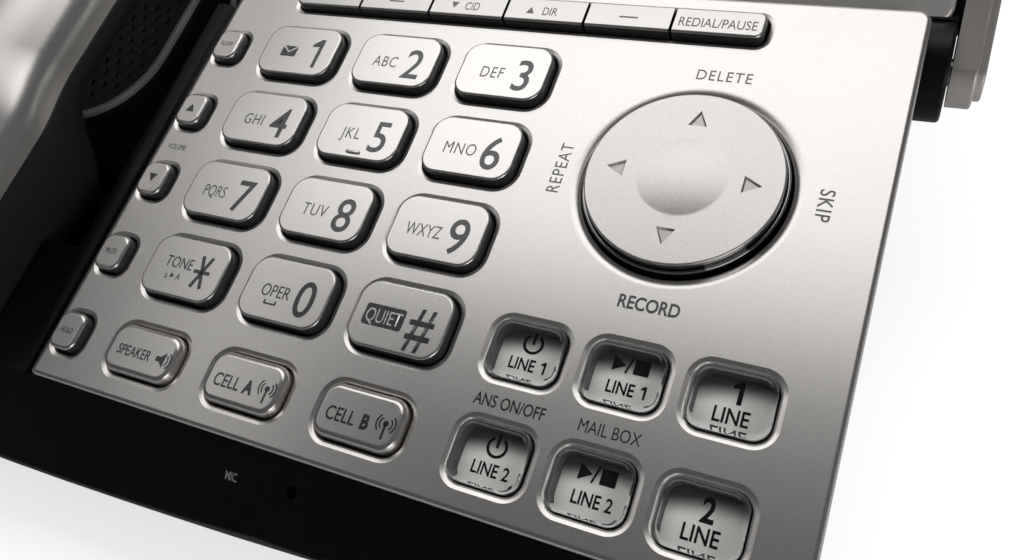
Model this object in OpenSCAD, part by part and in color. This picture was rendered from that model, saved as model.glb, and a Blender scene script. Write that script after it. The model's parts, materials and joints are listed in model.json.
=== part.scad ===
// Two-line desk telephone: wedge base, sloping key panel, tilting display and corded handset.
// Panel frame: u right, v up the slope, z out of the panel, from the panel's lower left corner.

/* [Base] */
// Slope of the key panel, degrees
tilt = 15; // [10:1:18]
// Height of the panel's lower edge above the desk
front_height = 27; // [26:0.5:34]
// Depth of the upper case below the panel face
case_t = 20; // [19.5:0.5:22]
// Wall of the two case halves
wall = 2.5; // [2:0.1:2.8]
// Case corner radius in plan
case_corner = 8; // [5:0.5:10]
// Reach of the front lip beyond the panel's lower edge
lip_reach = 13.8; // [12:0.2:18]
// Slope of the front lip below the panel plane, degrees
lip_slope = 23; // [15:1:28]
// Step from the panel face down to the lip
lip_step = 0.9; // [0.5:0.1:1.5]
// How far the front edge sweeps back at its right end
lip_sweep = 8.5; // [0:0.5:9]
// Place along the front edge where it reaches farthest forward
lip_peak = -18.5; // [-30:0.5:0]
// Wall of the lip in front of the handset
lip_wall = 5.2; // [4:0.1:7]
// Case wall left of the handset
cradle_wall = 4.6; // [3:0.1:8]
// Case wall behind the handset
rear_wall = 3.5; // [3:0.1:8]
// Lower case set in from the upper case
tub_inset = 6; // [4:0.5:8]
// Corner radius of the lower case
tub_corner = 12; // [10:1:16]
// Height of the rubber feet
foot_h = 2; // [1.5:0.1:3]
// Radius of the rubber feet
foot_r = 7; // [5:0.5:8]

/* [Panel] */
// Thickness of the silver panel
fascia_t = 2.2; // [1.8:0.1:2.6]
// Bevel along the panel's edges
fascia_bevel = 0.7; // [0.3:0.1:1]
// Corner radius of the panel
fascia_corner = 2; // [1:0.5:4]
// Panel edge to the side keys
side_margin = 1.9; // [1.1:0.1:4]
// Panel edge to the bottom row of keys
bottom_margin = 3.2; // [2.5:0.1:6]
// Panel edge to the soft keys
top_margin = 2.8; // [2.6:0.1:5]
// Panel edge to the clear keys
right_margin = 7.3; // [6:0.1:12]
// Side keys to the dial keys
side_gap = 4.1; // [3:0.1:8]
// Dial keys to the clear keys
block_gap = 5.2; // [3:0.1:8]
// Top dial row to the soft keys
soft_gap = 3.3; // [2:0.1:6]
// Panel edge to the left end of the soft keys
soft_start = 14.9; // [12:0.1:20]
// Overhang of the panel past the case below it
panel_overhang = 2; // [1:0.1:2.4]
// Clearance of the panel in its seat
seat_gap = 0.15; // [0.1:0.05:0.3]

/* [Keys] */
// Dial key columns, centre to centre
dial_pitch = 20; // [18:0.1:22]
// Key rows, centre to centre
row_pitch = 14.6; // [14.2:0.1:17]
// Dial key rim width
dial_w = 16.6; // [14:0.1:17]
// Dial key rim height
dial_h = 12.4; // [10:0.1:12.8]
// Dial key rim corner radius
dial_r = 3.8; // [3:0.1:4.5]
// Function key rim width
func_w = 15.4; // [12:0.1:17]
// Function key rim height
func_h = 9.6; // [8:0.1:11]
// Function key rim corner radius
func_r = 3.4; // [2.5:0.1:3.8]
// Side key rim width
side_w = 7.2; // [6.6:0.1:9]
// Side key rim height
side_h = 8.2; // [7:0.1:10]
// Side key rim corner radius
side_r = 2.6; // [2:0.1:3]
// Clear key rim width
clear_w = 12; // [10:0.1:12.5]
// Clear key rim height
clear_h = 10; // [8:0.1:11]
// Clear key rim corner radius
clear_r = 3; // [2.4:0.1:3.6]
// Clear key columns, centre to centre
clear_pitch = 13.75; // [13.4:0.05:16]
// Soft keys, centre to centre
soft_pitch = 14.1; // [12:0.1:14.4]
// Soft key row rim height
soft_h = 6.5; // [5.5:0.1:8]
// Soft key row rim corner radius
soft_r = 2.2; // [1.8:0.1:2.6]
// Number of soft keys
soft_count = 6; // [4:1:6]
// Gap between neighbouring soft keys
soft_split = 0.5; // [0.4:0.1:1]
// Width of the bevel round each key hole
rim_dish = 0.6; // [0.4:0.1:0.8]
// Depth of the bevel round each key hole
rim_depth = 0.45; // [0.3:0.05:0.8]
// Clearance between a key and its hole
key_gap = 0.3; // [0.2:0.05:0.4]
// Rounding of a key's top edge
key_edge = 0.4; // [0.4:0.1:1]
// Retaining flange beyond a key's sides
key_flange = 0.7; // [0.5:0.1:0.8]
// Thickness of the retaining flange
flange_t = 1; // [0.8:0.1:1.2]
// Gap between the flange and the panel
flange_gap = 0.15; // [0.1:0.05:0.3]
// Travel of a key
key_travel = 1.2; // [0.8:0.1:1.4]
// Dial key rise above the panel
dial_rise = 2.1; // [1.5:0.1:3]
// Function key rise above the panel
func_rise = 2; // [1.5:0.1:3]
// Side key rise above the panel
side_rise = 1.5; // [1.5:0.1:3]
// Soft key rise above the panel
soft_rise = 1.5; // [1.5:0.1:3]
// Clear key rise above the panel
clear_rise = 0.9; // [0.8:0.1:2]

/* [Four-way pad] */
// Radius of the silver disc
nav_disc_r = 13.6; // [12:0.1:14]
// Width of the chrome ring round the disc
nav_ring_w = 0.6; // [0.4:0.1:1]
// Clearance between the ring and its hole
nav_gap = 0.4; // [0.35:0.05:0.6]
// Bevel round the pad's hole
nav_rim_w = 1.3; // [0.8:0.1:1.5]
// Rise of the disc above the panel
nav_rise = 2; // [1.5:0.1:3]
// Radius of the raised dome in the middle
nav_dome_r = 6; // [4:0.1:7]
// Height of the dome above the disc
nav_dome_h = 0.6; // [0.3:0.1:1]
// Middle of the pad to the arrows
arrow_at = 9.6; // [8.5:0.1:10.5]
// Length of an arrow
arrow_len = 2.6; // [1.5:0.1:3]
// Depth of the engraved arrows
arrow_depth = 0.4; // [0.2:0.1:0.6]
// Height of the chrome ring's lip above the panel
nav_ring_rise = 0.7; // [0.3:0.1:1.2]

/* [Keypad] */
// Thickness of the rubber mat
mat_t = 0.8; // [0.6:0.1:1.2]
// Height of the mat's domes
dome_h = 1.5; // [1.4:0.1:2]
// Radius of the mat's domes
dome_r = 2.6; // [2:0.1:2.8]
// Least gap between a pressed key and its dome
press_gap = 0.15; // [0.1:0.05:0.3]
// Thickness of the circuit boards
board_t = 1.6; // [1:0.2:2]
// Clearance round the boards
board_gap = 0.6; // [0.4:0.1:1]

/* [Display] */
// Angle of the raised display above the panel plane, degrees
display_rest = 30; // [20:1:34]
// Hinge axis below the panel's upper edge
hinge_set = 2.6; // [2.2:0.1:4]
// Hinge axis below the panel face
hinge_drop = 10; // [9.8:0.1:10.4]
// Hinge axis to the display's lower edge
display_start = 5.8; // [5.4:0.1:7]
// Height of the display
display_h = 70.2; // [60:0.1:80]
// Thickness of the display's rear case
display_t = 9.4; // [8:0.1:9.6]
// Rear case face in front of the hinge axis
display_face = 2; // [1.5:0.1:2.4]
// Panel edge to the inner face of a side arm
arm_out = 3.8; // [3.4:0.1:4.4]
// Width of a side arm
arm_w = 4.5; // [4:0.1:5]
// Radius of a side arm's hinge end
arm_end_r = 5; // [4:0.1:6]
// Gap between a side arm and its hinge boss
arm_gap = 0.3; // [0.2:0.05:0.5]
// Radius of the hinge bosses
boss_r = 7.4; // [6:0.1:7.6]
// Radius of the hinge pins
pin_r = 2; // [1.5:0.1:3]
// Radial fit of a pin in its boss
pin_fit = 0.03; // [0.01:0.01:0.06]
// Radial running fit of an arm on its pin
arm_fit = 0.06; // [0.04:0.01:0.1]
// Thickness of the silver bezel
bezel_t = 1.6; // [1:0.1:2.2]
// Bezel set in from the side arms
bezel_inset = 1.2; // [0.5:0.1:2]
// Width of the window
window_w = 104; // [80:1:110]
// Height of the window
window_h = 50; // [40:1:54]
// Thickness of the window
window_t = 1.2; // [0.8:0.1:1.6]
// Thickness of the liquid crystal module
lcd_t = 5; // [3:0.1:6]

/* [Handset] */
// Length of the handset
handset_len = 188.5; // [180:0.5:200]
// Width across the ear and mouth ends
handset_w = 54; // [48:0.5:56]
// Width across the handle
handle_w = 50; // [40:0.5:52]
// Panel edge to the handset
handset_gap = 12.4; // [12:0.1:16]
// Clearance of the handset in its wells
rest_gap = 1; // [0.6:0.1:1.2]
// Parting line above the panel plane
parting = 10.4; // [9:0.1:12]
// Crown of the handset above the panel plane
handset_top = 21; // [18:0.1:26]
// Underside of the handle above the panel plane
handle_lift = 3.5; // [1:0.1:5]
// Length of the handle between the two slopes
handle_len = 73.3; // [60:0.1:74]
// Length of each slope from the handle to an end
pod_ramp = 14; // [12:0.5:18]
// Rounding of the ends in plan
end_r = 14; // [10:0.5:18]
// Rounding of the ends in height
nose_r = 7; // [5:0.5:9]
// Depth of the two wells that the ends lie in
well_depth = 14; // [12.5:0.1:14.2]
// Gap between the handset and the floor of its wells
well_gap = 0.4; // [0.3:0.1:0.8]
// Length of the mouth well
mouth_well = 51; // [48:0.5:54]
// Length of the ear well
ear_well = 55.5; // [50:0.5:58]
// Corner radius of the wells
well_corner = 10; // [6:0.5:10]
// Depth of the finger channel under the handle
channel_depth = 10; // [9:0.1:10.5]
// Width of the ridge between the panel and the channel
ridge_w = 2.5; // [1.5:0.1:4]

/* [Hook] */
// Radius of the hook button
hook_r = 3.5; // [2.5:0.1:5]
// Rise of the hook button when the handset is lifted
hook_travel = 4; // [3:0.1:5]
// Radial running fit of the hook button
hook_fit = 0.06; // [0.04:0.01:0.1]
// Ear well's front edge to the hook button
hook_in = 22; // [18:0.5:30]

/* [Sound] */
// Radius of the loudspeaker
speaker_r = 17; // [14:0.5:19]
// Depth of the loudspeaker
speaker_d = 14; // [10:0.5:16]
// Half width of the grille's rim
grille_half = 17.5; // [14:0.5:20]
// Length of the grille
grille_len = 64; // [50:0.5:70]
// Width of the grille's rim
grille_rim = 2; // [1.5:0.1:3]
// Rise of the grille's rim above the channel floor
grille_rise = 0.8; // [0.5:0.1:1.2]
// Radius of the grille's holes
grille_hole = 0.9; // [0.6:0.1:1.2]
// Spacing of the grille's holes
grille_pitch = 3.4; // [3:0.1:5]
// Radius of the base microphone
mic_r = 4; // [3:0.1:4.5]
// Length of the base microphone
mic_len = 5; // [3:0.1:6]
// Panel edge to the base microphone
mic_u = 54; // [30:0.5:80]
// Radius of the receiver in the handset
receiver_r = 15; // [12:0.5:17]
// Thickness of the receiver
receiver_t = 6; // [4:0.5:8]
// Radius of a sound hole
sound_hole = 0.9; // [0.6:0.1:1.2]

/* [Sockets] */
// Width of a modular socket
jack_w = 14; // [13:0.1:16]
// Height of a modular socket
jack_h = 13; // [11:0.1:15]
// Depth of a modular socket
jack_d = 14; // [12:0.1:18]
// Width of a modular socket's opening
jack_open_w = 10; // [8:0.1:11]
// Height of a modular socket's opening
jack_open_h = 7.6; // [6:0.1:8.5]
// Middle of the case to the line sockets
jack_x = 40; // [30:1:50]
// Line sockets, centre to centre
jack_pitch = 20; // [18:0.5:24]
// Rear wall to the handset socket in the left wall
jack_side = 60; // [40:1:70]
// Width of the power inlet
inlet_w = 11; // [10:0.1:14]
// Radius of the power inlet's bore
inlet_r = 3.3; // [3.2:0.1:3.6]
// Width of the handset's own socket
hand_jack_w = 11; // [10:0.1:12]
// Height of the handset's own socket
hand_jack_h = 9; // [8.8:0.1:9.6]
// Wall round the opening of the handset's own socket
hand_jack_wall = 1.3; // [1:0.1:1.6]
// Depth of the handset's own socket
hand_jack_d = 12; // [10:0.1:14]

/* [Fasteners] */
// Radius of the case posts
post_r = 4; // [3.5:0.1:5]
// Radius of a screw's shank
screw_r = 1.2; // [1:0.1:1.5]
// Radius of a screw's head
screw_head_r = 2.8; // [2.2:0.1:3]
// Length of a screw's shank
screw_len = 8; // [6:0.1:9]
// Clearance round the screws and the socket bodies
loose = 0.15; // [0.1:0.05:0.3]

/* [Hidden] */
$fn = 64;
silver = "silver";
black = "#1d1d1f";
dark = "#3a3a3d";
green = "#2f5d3a";

// Panel columns and rows
side_u = side_margin + side_w / 2;
dial_u0 = side_margin + side_w + side_gap + dial_w / 2;
nav_ring_r = nav_disc_r + nav_ring_w;
nav_hole_r = nav_ring_r + nav_gap;
nav_rim_r = nav_hole_r + nav_rim_w;
block_half = max(nav_rim_r, clear_pitch + clear_w / 2);
block_u = dial_u0 + 2 * dial_pitch + dial_w / 2 + block_gap + block_half;
fascia_w = block_u + block_half + right_margin;
func_v = bottom_margin + func_h / 2;
row_v = [for (r = [0:4]) func_v + (4 - r) * row_pitch];
nav_v = row_v[1];
soft_v = row_v[0] + dial_h / 2 + soft_gap + soft_h / 2;
soft_w = soft_pitch - soft_split;
soft_row_w = soft_count * soft_pitch - soft_split + 2 * (rim_dish + key_gap);
soft_u = soft_start + soft_row_w / 2;
fascia_h = soft_v + soft_h / 2 + top_margin;

// Levels under the panel
key_base = -fascia_t - flange_gap - flange_t;
dome_top = key_base - key_travel - press_gap;
mat_top = dome_top - dome_h;
board_top = mat_top - mat_t;
floor_z = wall - case_t;
nav_base = key_base - 0.65;
nav_flange_top = -fascia_t - 1;
nav_flange_r = nav_ring_r + 1.2;
nav_seat = -1.2;

// Case outline
handset_u = -handset_gap - handset_w / 2;
well_half = handset_w / 2 + rest_gap;
case_left = handset_u - well_half - cradle_wall;
case_right = fascia_w - panel_overhang;
handset_v0 = lip_wall + rest_gap - lip_reach;
handset_v1 = handset_v0 + handset_len;
case_back = handset_v1 + rest_gap + rear_wall;
mouth_v0 = handset_v0 - rest_gap;
mouth_v1 = mouth_v0 + mouth_well;
ear_v1 = handset_v1 + rest_gap;
ear_v0 = ear_v1 - ear_well;
mid_v = (mouth_v1 + ear_v0) / 2;
mic_z = -9;
mic_v = -4;

// Hinge and the space round it
hinge_v = fascia_h - hinge_set;
hinge_z = -hinge_drop;
section_back = fascia_h - 0.3;
slot_wall = 2.2;
slot_left = rest_gap - handset_gap + slot_wall;
slot_v = hinge_v - arm_end_r - 1.1;
boss_out = arm_out - arm_gap;
boss_room = boss_r + 0.6;
display_end = display_start + display_h;
display_back = display_face - display_t;
bezel_front = display_face + bezel_t;
window_mid = (display_start + display_end) / 2;
pin_in_arm = 3;

// Key cavity under the panel
cav_left = side_margin + rim_dish + key_gap - key_flange - 0.5;
cav_front = bottom_margin + rim_dish + key_gap - key_flange - 0.5;
cav_right = case_right - wall;
cav_back = section_back - 2;
cav_step_u = panel_overhang + wall;
cav_step_v = slot_v - wall;

// Place of the panel frame: the origin lies under the middle of the whole telephone
slope_c = cos(tilt);
slope_s = sin(tilt);
nose_z = -lip_step - lip_reach * tan(lip_slope);
front_y = -lip_reach * slope_c - nose_z * slope_s;
back_y = case_back * slope_c + case_t * slope_s;
origin_x = -(case_left + fascia_w + arm_out + arm_w) / 2;
origin_y = -(front_y + back_y) / 2;

// Lower case
tub_x0 = origin_x + case_left + tub_inset;
tub_x1 = origin_x + case_right - tub_inset;
tub_y0 = origin_y + (lip_sweep - lip_reach) * slope_c + case_t * slope_s + tub_inset;
tub_y1 = origin_y + back_y - tub_inset;
tub_floor = foot_h + wall;
post_foot = tub_floor + 4;
post_in = 9;
post_front = 20;
main_board_z = tub_floor + 5.5;
main_top = main_board_z + board_t;
main_len = 88;
screw_head_z = foot_h + 1;
post_places = [
    [tub_x0 + post_in, tub_y0 + post_front, -well_depth - wall / 2],
    [tub_x1 - post_in, tub_y0 + post_front, floor_z - wall / 2],
    [tub_x0 + post_in, tub_y1 - post_in, -well_depth - wall / 2],
    [tub_x1 - post_in, tub_y1 - post_in, floor_z - wall / 2]
];

// Names of the keys, row by row
dial_keys = [for (n = ["1", "2", "3", "4", "5", "6", "7", "8", "9", "star", "0", "pound"])
    str("dial_key_", n)];
function_keys = ["speaker_key", "cell_key_a", "cell_key_b"];
side_keys = ["flash_key", "volume_up_key", "volume_down_key", "mute_key", "hold_key"];
soft_keys = [for (i = [1:soft_count]) str("soft_key_", i)];
clear_keys = ["answer_key_1", "play_key_1", "line_key_1", "answer_key_2", "play_key_2", "line_key_2"];

// Rounded rectangle about the origin, anticlockwise
function rrect(w, h, r, n = 4) = [
    for (q = [0:3]) for (i = [0:n])
        let (a = 90 * (q + i / n), right = q == 0 || q == 3, upper = q < 2)
        [(right ? 1 : -1) * (w / 2 - r) + r * cos(a), (upper ? 1 : -1) * (h / 2 - r) + r * sin(a)]
];

// An outline lifted to a height
function at_z(path, z) = [for (p = path) [p[0], p[1], z]];

// An arc of points about a centre
function arc(u, v, r, a0, a1, n = 6) = [
    for (i = [0:n]) let (a = a0 + (a1 - a0) * i / n) [u + r * cos(a), v + r * sin(a)]
];

// Front edge of the upper case
function lip_v(u) = lip_sweep * pow((u - lip_peak) / (case_right - lip_peak), 2) - lip_reach;

// Height of a plane parallel to the panel, at a place on the desk
function plane_z(y, z) =
    front_height + (y - origin_y + z * slope_s) * slope_s / slope_c + z * slope_c;

// Closed skin through a list of rings, each anticlockwise about the way they follow
module loft(rings) {
    n = len(rings[0]);
    last = len(rings) - 1;
    sides = [for (k = [0:last - 1]) for (i = [0:n - 1])
        let (a = k * n + i, b = k * n + (i + 1) % n)
        each [[a, a + n, b + n], [a, b + n, b]]];
    ends = [[for (i = [0:n - 1]) i], [for (i = [n - 1:-1:0]) last * n + i]];
    polyhedron([for (ring = rings) each ring], concat(sides, ends), convexity = 4);
}

// Puts a piece of the panel frame in its place over the desk
module on_panel() {
    translate([origin_x, origin_y, front_height])
        rotate([tilt, 0, 0])
        children();
}

// Puts a piece of the display frame in its place: u, then up the display, then out of its face
module on_display() {
    on_panel()
        translate([0, hinge_v, hinge_z])
        rotate([display_rest, 0, 0])
        children();
}

// Sweeps an outline of the v, z plane along u
module along_u(u0, u1) {
    translate([u0, 0, 0])
        rotate([90, 0, 90])
        linear_extrude(u1 - u0)
        children();
}

// Sweeps an outline of the u, z plane along v
module along_v(v0, v1) {
    translate([0, v1, 0])
        rotate([90, 0, 0])
        linear_extrude(v1 - v0)
        children();
}

// A piece at the right of the panel and its mirror image at the left
module both_sides() {
    children();
    translate([fascia_w, 0, 0])
        mirror([1, 0, 0])
        children();
}

// One key in a rim of the given size: flange, straight sides and a rounded top edge
module key(u, v, w, h, r, rise, flange_w = key_flange) {
    inset = rim_dish + key_gap;
    key_w = w - 2 * inset;
    key_h = h - 2 * inset;
    key_r = max(r - inset, 0.4);
    flange = rrect(key_w + 2 * flange_w, key_h + 2 * key_flange, key_r);
    body = rrect(key_w, key_h, key_r);
    round_in = 0.3 * key_edge;
    on_panel()
        translate([u, v, 0])
        loft([
            at_z(flange, key_base),
            at_z(flange, key_base + flange_t),
            at_z(body, key_base + flange_t),
            at_z(body, rise - key_edge),
            at_z(rrect(key_w - 2 * round_in, key_h - 2 * round_in, key_r - round_in), rise - round_in),
            at_z(rrect(key_w - 2 * key_edge, key_h - 2 * key_edge, max(key_r - key_edge, 0.3)), rise)
        ]);
}

module dial_key(i) {
    color(silver)
        key(dial_u0 + (i % 3) * dial_pitch, row_v[floor(i / 3)], dial_w, dial_h, dial_r, dial_rise);
}

module function_key(i) {
    color(silver)
        key(dial_u0 + i * dial_pitch, func_v, func_w, func_h, func_r, func_rise);
}

module side_key(i) {
    color(silver)
        key(side_u, row_v[i], side_w, side_h, side_r, side_rise);
}

module soft_key(i) {
    rim = soft_w + 2 * (rim_dish + key_gap);
    color(silver)
        key(soft_key_u(i), soft_v, rim, soft_h, soft_r, soft_rise, soft_split / 5);
}

module clear_key(i) {
    color("whitesmoke", 0.6)
        key(clear_key_u(i), clear_key_v(i), clear_w, clear_h, clear_r, clear_rise);
}

function soft_key_u(i) = soft_start + rim_dish + key_gap + soft_w / 2 + i * soft_pitch;
function clear_key_u(i) = block_u + (i % 3 - 1) * clear_pitch;
function clear_key_v(i) = func_v + (i < 3 ? row_pitch : 0);

// A key's hole through the panel with its bevelled rim
module rim_hole(u, v, w, h, r) {
    hole = rrect(w - 2 * rim_dish, h - 2 * rim_dish, r - rim_dish);
    rim = rrect(w, h, r);
    translate([u, v, 0])
        loft([
            at_z(hole, -fascia_t - 1),
            at_z(hole, -rim_depth),
            at_z(rim, 0),
            at_z(rim, 1)
        ]);
}

// Silver panel with a hole for every key and the four-way pad
module fascia_panel() {
    outer = rrect(fascia_w, fascia_h, fascia_corner);
    inner = rrect(fascia_w - 2 * fascia_bevel, fascia_h - 2 * fascia_bevel, fascia_corner - fascia_bevel);
    peg_r = 1.2;
    color(silver)
        on_panel() {
            difference() {
                translate([fascia_w / 2, fascia_h / 2, 0])
                    loft([at_z(outer, -fascia_t), at_z(outer, -fascia_bevel), at_z(inner, 0)]);
                for (i = [0:len(dial_keys) - 1])
                    rim_hole(dial_u0 + (i % 3) * dial_pitch, row_v[floor(i / 3)], dial_w, dial_h, dial_r);
                for (i = [0:2])
                    rim_hole(dial_u0 + i * dial_pitch, func_v, func_w, func_h, func_r);
                for (i = [0:4])
                    rim_hole(side_u, row_v[i], side_w, side_h, side_r);
                for (i = [0:5])
                    rim_hole(clear_key_u(i), clear_key_v(i), clear_w, clear_h, clear_r);
                rim_hole(soft_u, soft_v, soft_row_w, soft_h, soft_r);
                translate([block_u, nav_v, 0])
                    rotate_extrude()
                    polygon([[0, -fascia_t - 1], [nav_hole_r, -fascia_t - 1], [nav_hole_r, -2 * rim_depth],
                        [nav_rim_r, 0], [nav_rim_r, 1], [0, 1]]);
            }
            for (c = [0.5, 1.5]) for (r = [0.5, 2.5])
                translate([dial_u0 + c * dial_pitch, row_v[0] - r * row_pitch, mat_top])
                    cylinder(r = peg_r, h = -fascia_t - mat_top);
        }
}

// Silver disc of the four-way pad, with its dome and arrows
module nav_disc() {
    edge = 0.5;
    dome = [for (i = [0:6]) [nav_dome_r * cos(15 * i), nav_rise + nav_dome_h * sin(15 * i)]];
    color(silver)
        on_panel()
        translate([block_u, nav_v, 0])
        difference() {
            rotate_extrude()
                polygon(concat([[0, nav_seat], [nav_disc_r, nav_seat], [nav_disc_r, nav_rise - edge],
                    [nav_disc_r - 0.3 * edge, nav_rise - 0.3 * edge], [nav_disc_r - edge, nav_rise]], dome));
            for (a = [0:90:270])
                rotate(a)
                translate([arrow_at, 0, nav_rise - arrow_depth])
                linear_extrude(arrow_depth + 1)
                polygon([[arrow_len / 2, 0], [-arrow_len / 2, arrow_len / 2], [-arrow_len / 2, -arrow_len / 2]]);
        }
}

// Chrome cup that holds the disc; its flange keeps it under the panel
module nav_ring() {
    inner_r = nav_disc_r + 0.02;
    lip = 0.2;
    color("lightgray")
        on_panel()
        translate([block_u, nav_v, 0])
        rotate_extrude()
        polygon([[0, nav_base], [nav_flange_r, nav_base], [nav_flange_r, nav_flange_top],
            [nav_ring_r, nav_flange_top], [nav_ring_r, nav_ring_rise - lip],
            [nav_ring_r - lip, nav_ring_rise], [inner_r, nav_ring_rise], [inner_r, nav_seat], [0, nav_seat]]);
}

// Gimbal plate between the pad and the mat: it tips one way and the pad tips on it the other way
module nav_rocker() {
    plate_r = 8;
    foot_r1 = 1.6;
    foot_z = mat_top + 0.1;
    color(dark)
        on_panel()
        translate([block_u, nav_v, 0])
        rotate_extrude()
        polygon([[0, foot_z], [0.6 * foot_r1, foot_z + 0.15], [foot_r1, foot_z + 0.5],
            [plate_r, nav_base - 1.3], [plate_r, nav_base - 0.6], [0, nav_base - 0.1]]);
}

// Plan of the key cavity, drawn in by a clearance
function cavity(gap) = [
    [cav_left + gap, cav_front + gap],
    [cav_right - gap, cav_front + gap],
    [cav_right - gap, cav_back - gap],
    [cav_step_u + gap, cav_back - gap],
    [cav_step_u + gap, cav_step_v - gap],
    [cav_left + gap, cav_step_v - gap]
];

// Every spot where a key presses the mat
press_spots = concat(
    [for (i = [0:len(dial_keys) - 1]) [dial_u0 + (i % 3) * dial_pitch, row_v[floor(i / 3)]]],
    [for (i = [0:2]) [dial_u0 + i * dial_pitch, func_v]],
    [for (i = [0:4]) [side_u, row_v[i]]],
    [for (i = [0:soft_count - 1]) [soft_key_u(i), soft_v]],
    [for (i = [0:5]) [clear_key_u(i), clear_key_v(i)]],
    [for (a = [0:90:270]) [block_u + 11 * cos(a), nav_v + 11 * sin(a)]]
);

// Rubber mat with a dome under every key
module keypad_mat() {
    color("dimgray")
        on_panel() {
            translate([0, 0, board_top])
                linear_extrude(mat_t)
                polygon(cavity(board_gap));
            for (p = press_spots)
                translate([p[0], p[1], mat_top])
                cylinder(r1 = dome_r, r2 = 0.8 * dome_r, h = dome_h, $fn = 32);
        }
}

module key_board() {
    color(green)
        on_panel()
        translate([0, 0, board_top - board_t])
        linear_extrude(board_t)
        polygon(cavity(board_gap));
}

// Plan of the upper case: swept front edge and rounded corners
function case_outline() = let (r = case_corner, n = 14) concat(
    [for (i = [0:n]) let (u = case_left + r + (case_right - case_left - 2 * r) * i / n) [u, lip_v(u)]],
    arc(case_right - r, lip_v(case_right - r) + r, r, -75, 0, 5),
    arc(case_right - r, case_back - r, r, 0, 90),
    arc(case_left + r, case_back - r, r, 90, 180),
    arc(case_left + r, lip_v(case_left + r) + r, r, 180, 255, 5)
);

// One of the two wells that the handset's ends lie in
module well(v0, v1) {
    translate([handset_u, (v0 + v1) / 2, -well_depth])
        linear_extrude(well_depth + 1)
        polygon(rrect(2 * well_half, v1 - v0, well_corner, 6));
}

// A hollow cut from below under the cradle
module under_pocket(v0, v1, roof) {
    u0 = case_left + wall;
    u1 = slot_left - slot_wall;
    translate([u0, v0, -case_t - 1])
        cube([u1 - u0, v1 - v0, roof + case_t + 1]);
}

// Upper case with the lip, the panel's seat, the display's deck and the handset's cradle cut in
module case_block() {
    far = 400;
    difference() {
        translate([0, 0, -case_t])
            linear_extrude(case_t)
            polygon(case_outline());
        along_u(-far, far)
            polygon([[-seat_gap, 1], [-seat_gap, -lip_step],
                [-far, -lip_step - (far - seat_gap) * tan(lip_slope)], [-far, 1]]);
        translate([-seat_gap, -seat_gap, -fascia_t])
            cube([far, fascia_h + 2 * seat_gap, fascia_t + 1]);
        translate([0, 0, floor_z])
            linear_extrude(case_t)
            polygon([[slot_left, slot_v], [panel_overhang, slot_v], [panel_overhang, section_back],
                [far, section_back], [far, far], [slot_left, far]]);
        along_v(mouth_v1 - 2 * well_corner, ear_v0 + 2 * well_corner)
            polygon([[-far, -channel_depth], [-handset_gap - 0.6, -channel_depth],
                [-ridge_w, 1], [-far, 1]]);
        well(mouth_v0, mouth_v1);
        well(ear_v0, ear_v1);
        under_pocket(mouth_v0 + wall, mouth_v1 - wall, -well_depth - wall);
        under_pocket(mouth_v1 + wall, ear_v0 - wall, -channel_depth - wall);
        under_pocket(ear_v0 + wall, ear_v1 - wall, -well_depth - wall);
    }
}

// Upper case
module upper_case() {
    boss_bite = 0.5;
    board_posts = [[15, 16], [15, 66], [72, 16], [72, 66], [108, 34], [108, 74]];
    color(black)
        difference() {
            union() {
                on_panel() {
                    difference() {
                        case_block();
                        translate([0, 0, floor_z])
                            linear_extrude(case_t)
                            polygon(cavity(0));
                    }
                    both_sides()
                        translate([case_right - boss_bite, hinge_v, hinge_z])
                        rotate([0, 90, 0])
                        cylinder(r = boss_r, h = fascia_w + boss_out - case_right + boss_bite);
                    for (p = board_posts)
                        translate([p[0], p[1], floor_z - boss_bite])
                        cylinder(r = 3, h = board_top - board_t - floor_z + boss_bite);
                }
                for (p = post_places)
                    translate([p[0], p[1], post_foot])
                    cylinder(r = post_r, h = plane_z(p[1], p[2]) - post_foot);
            }
            on_panel() {
                both_sides()
                    translate([case_right - wall + 0.6, hinge_v, hinge_z])
                    rotate([0, 90, 0])
                    cylinder(r = pin_r + pin_fit, h = far_pin);
                translate([handset_u, mid_v, -channel_depth - wall - 1])
                    linear_extrude(wall + 2)
                    polygon(stadium(grille_half - grille_rim + loose, grille_len - 2 * grille_rim + 2 * loose));
                translate([handset_u, ear_v0 + hook_in, -well_depth - wall - 1])
                    cylinder(r = hook_r + hook_fit, h = wall + 2);
                translate([mic_u, cav_front + 1, mic_z])
                    rotate([90, 0, 0])
                    cylinder(r = mic_r + loose, h = cav_front + 1 + mic_len);
                translate([mic_u, mic_v, mic_z])
                    cylinder(r = sound_hole, h = -mic_z, $fn = 24);
            }
            for (p = post_places)
                translate([p[0], p[1], post_foot - 1])
                cylinder(r = screw_r + loose, h = screw_len - 3, $fn = 32);
        }
}

far_pin = fascia_w + arm_out - case_right + wall;

// Plan of a slot with round ends, longer along v
function stadium(half, len) = rrect(2 * half, len, half - 0.01, 12);

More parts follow.
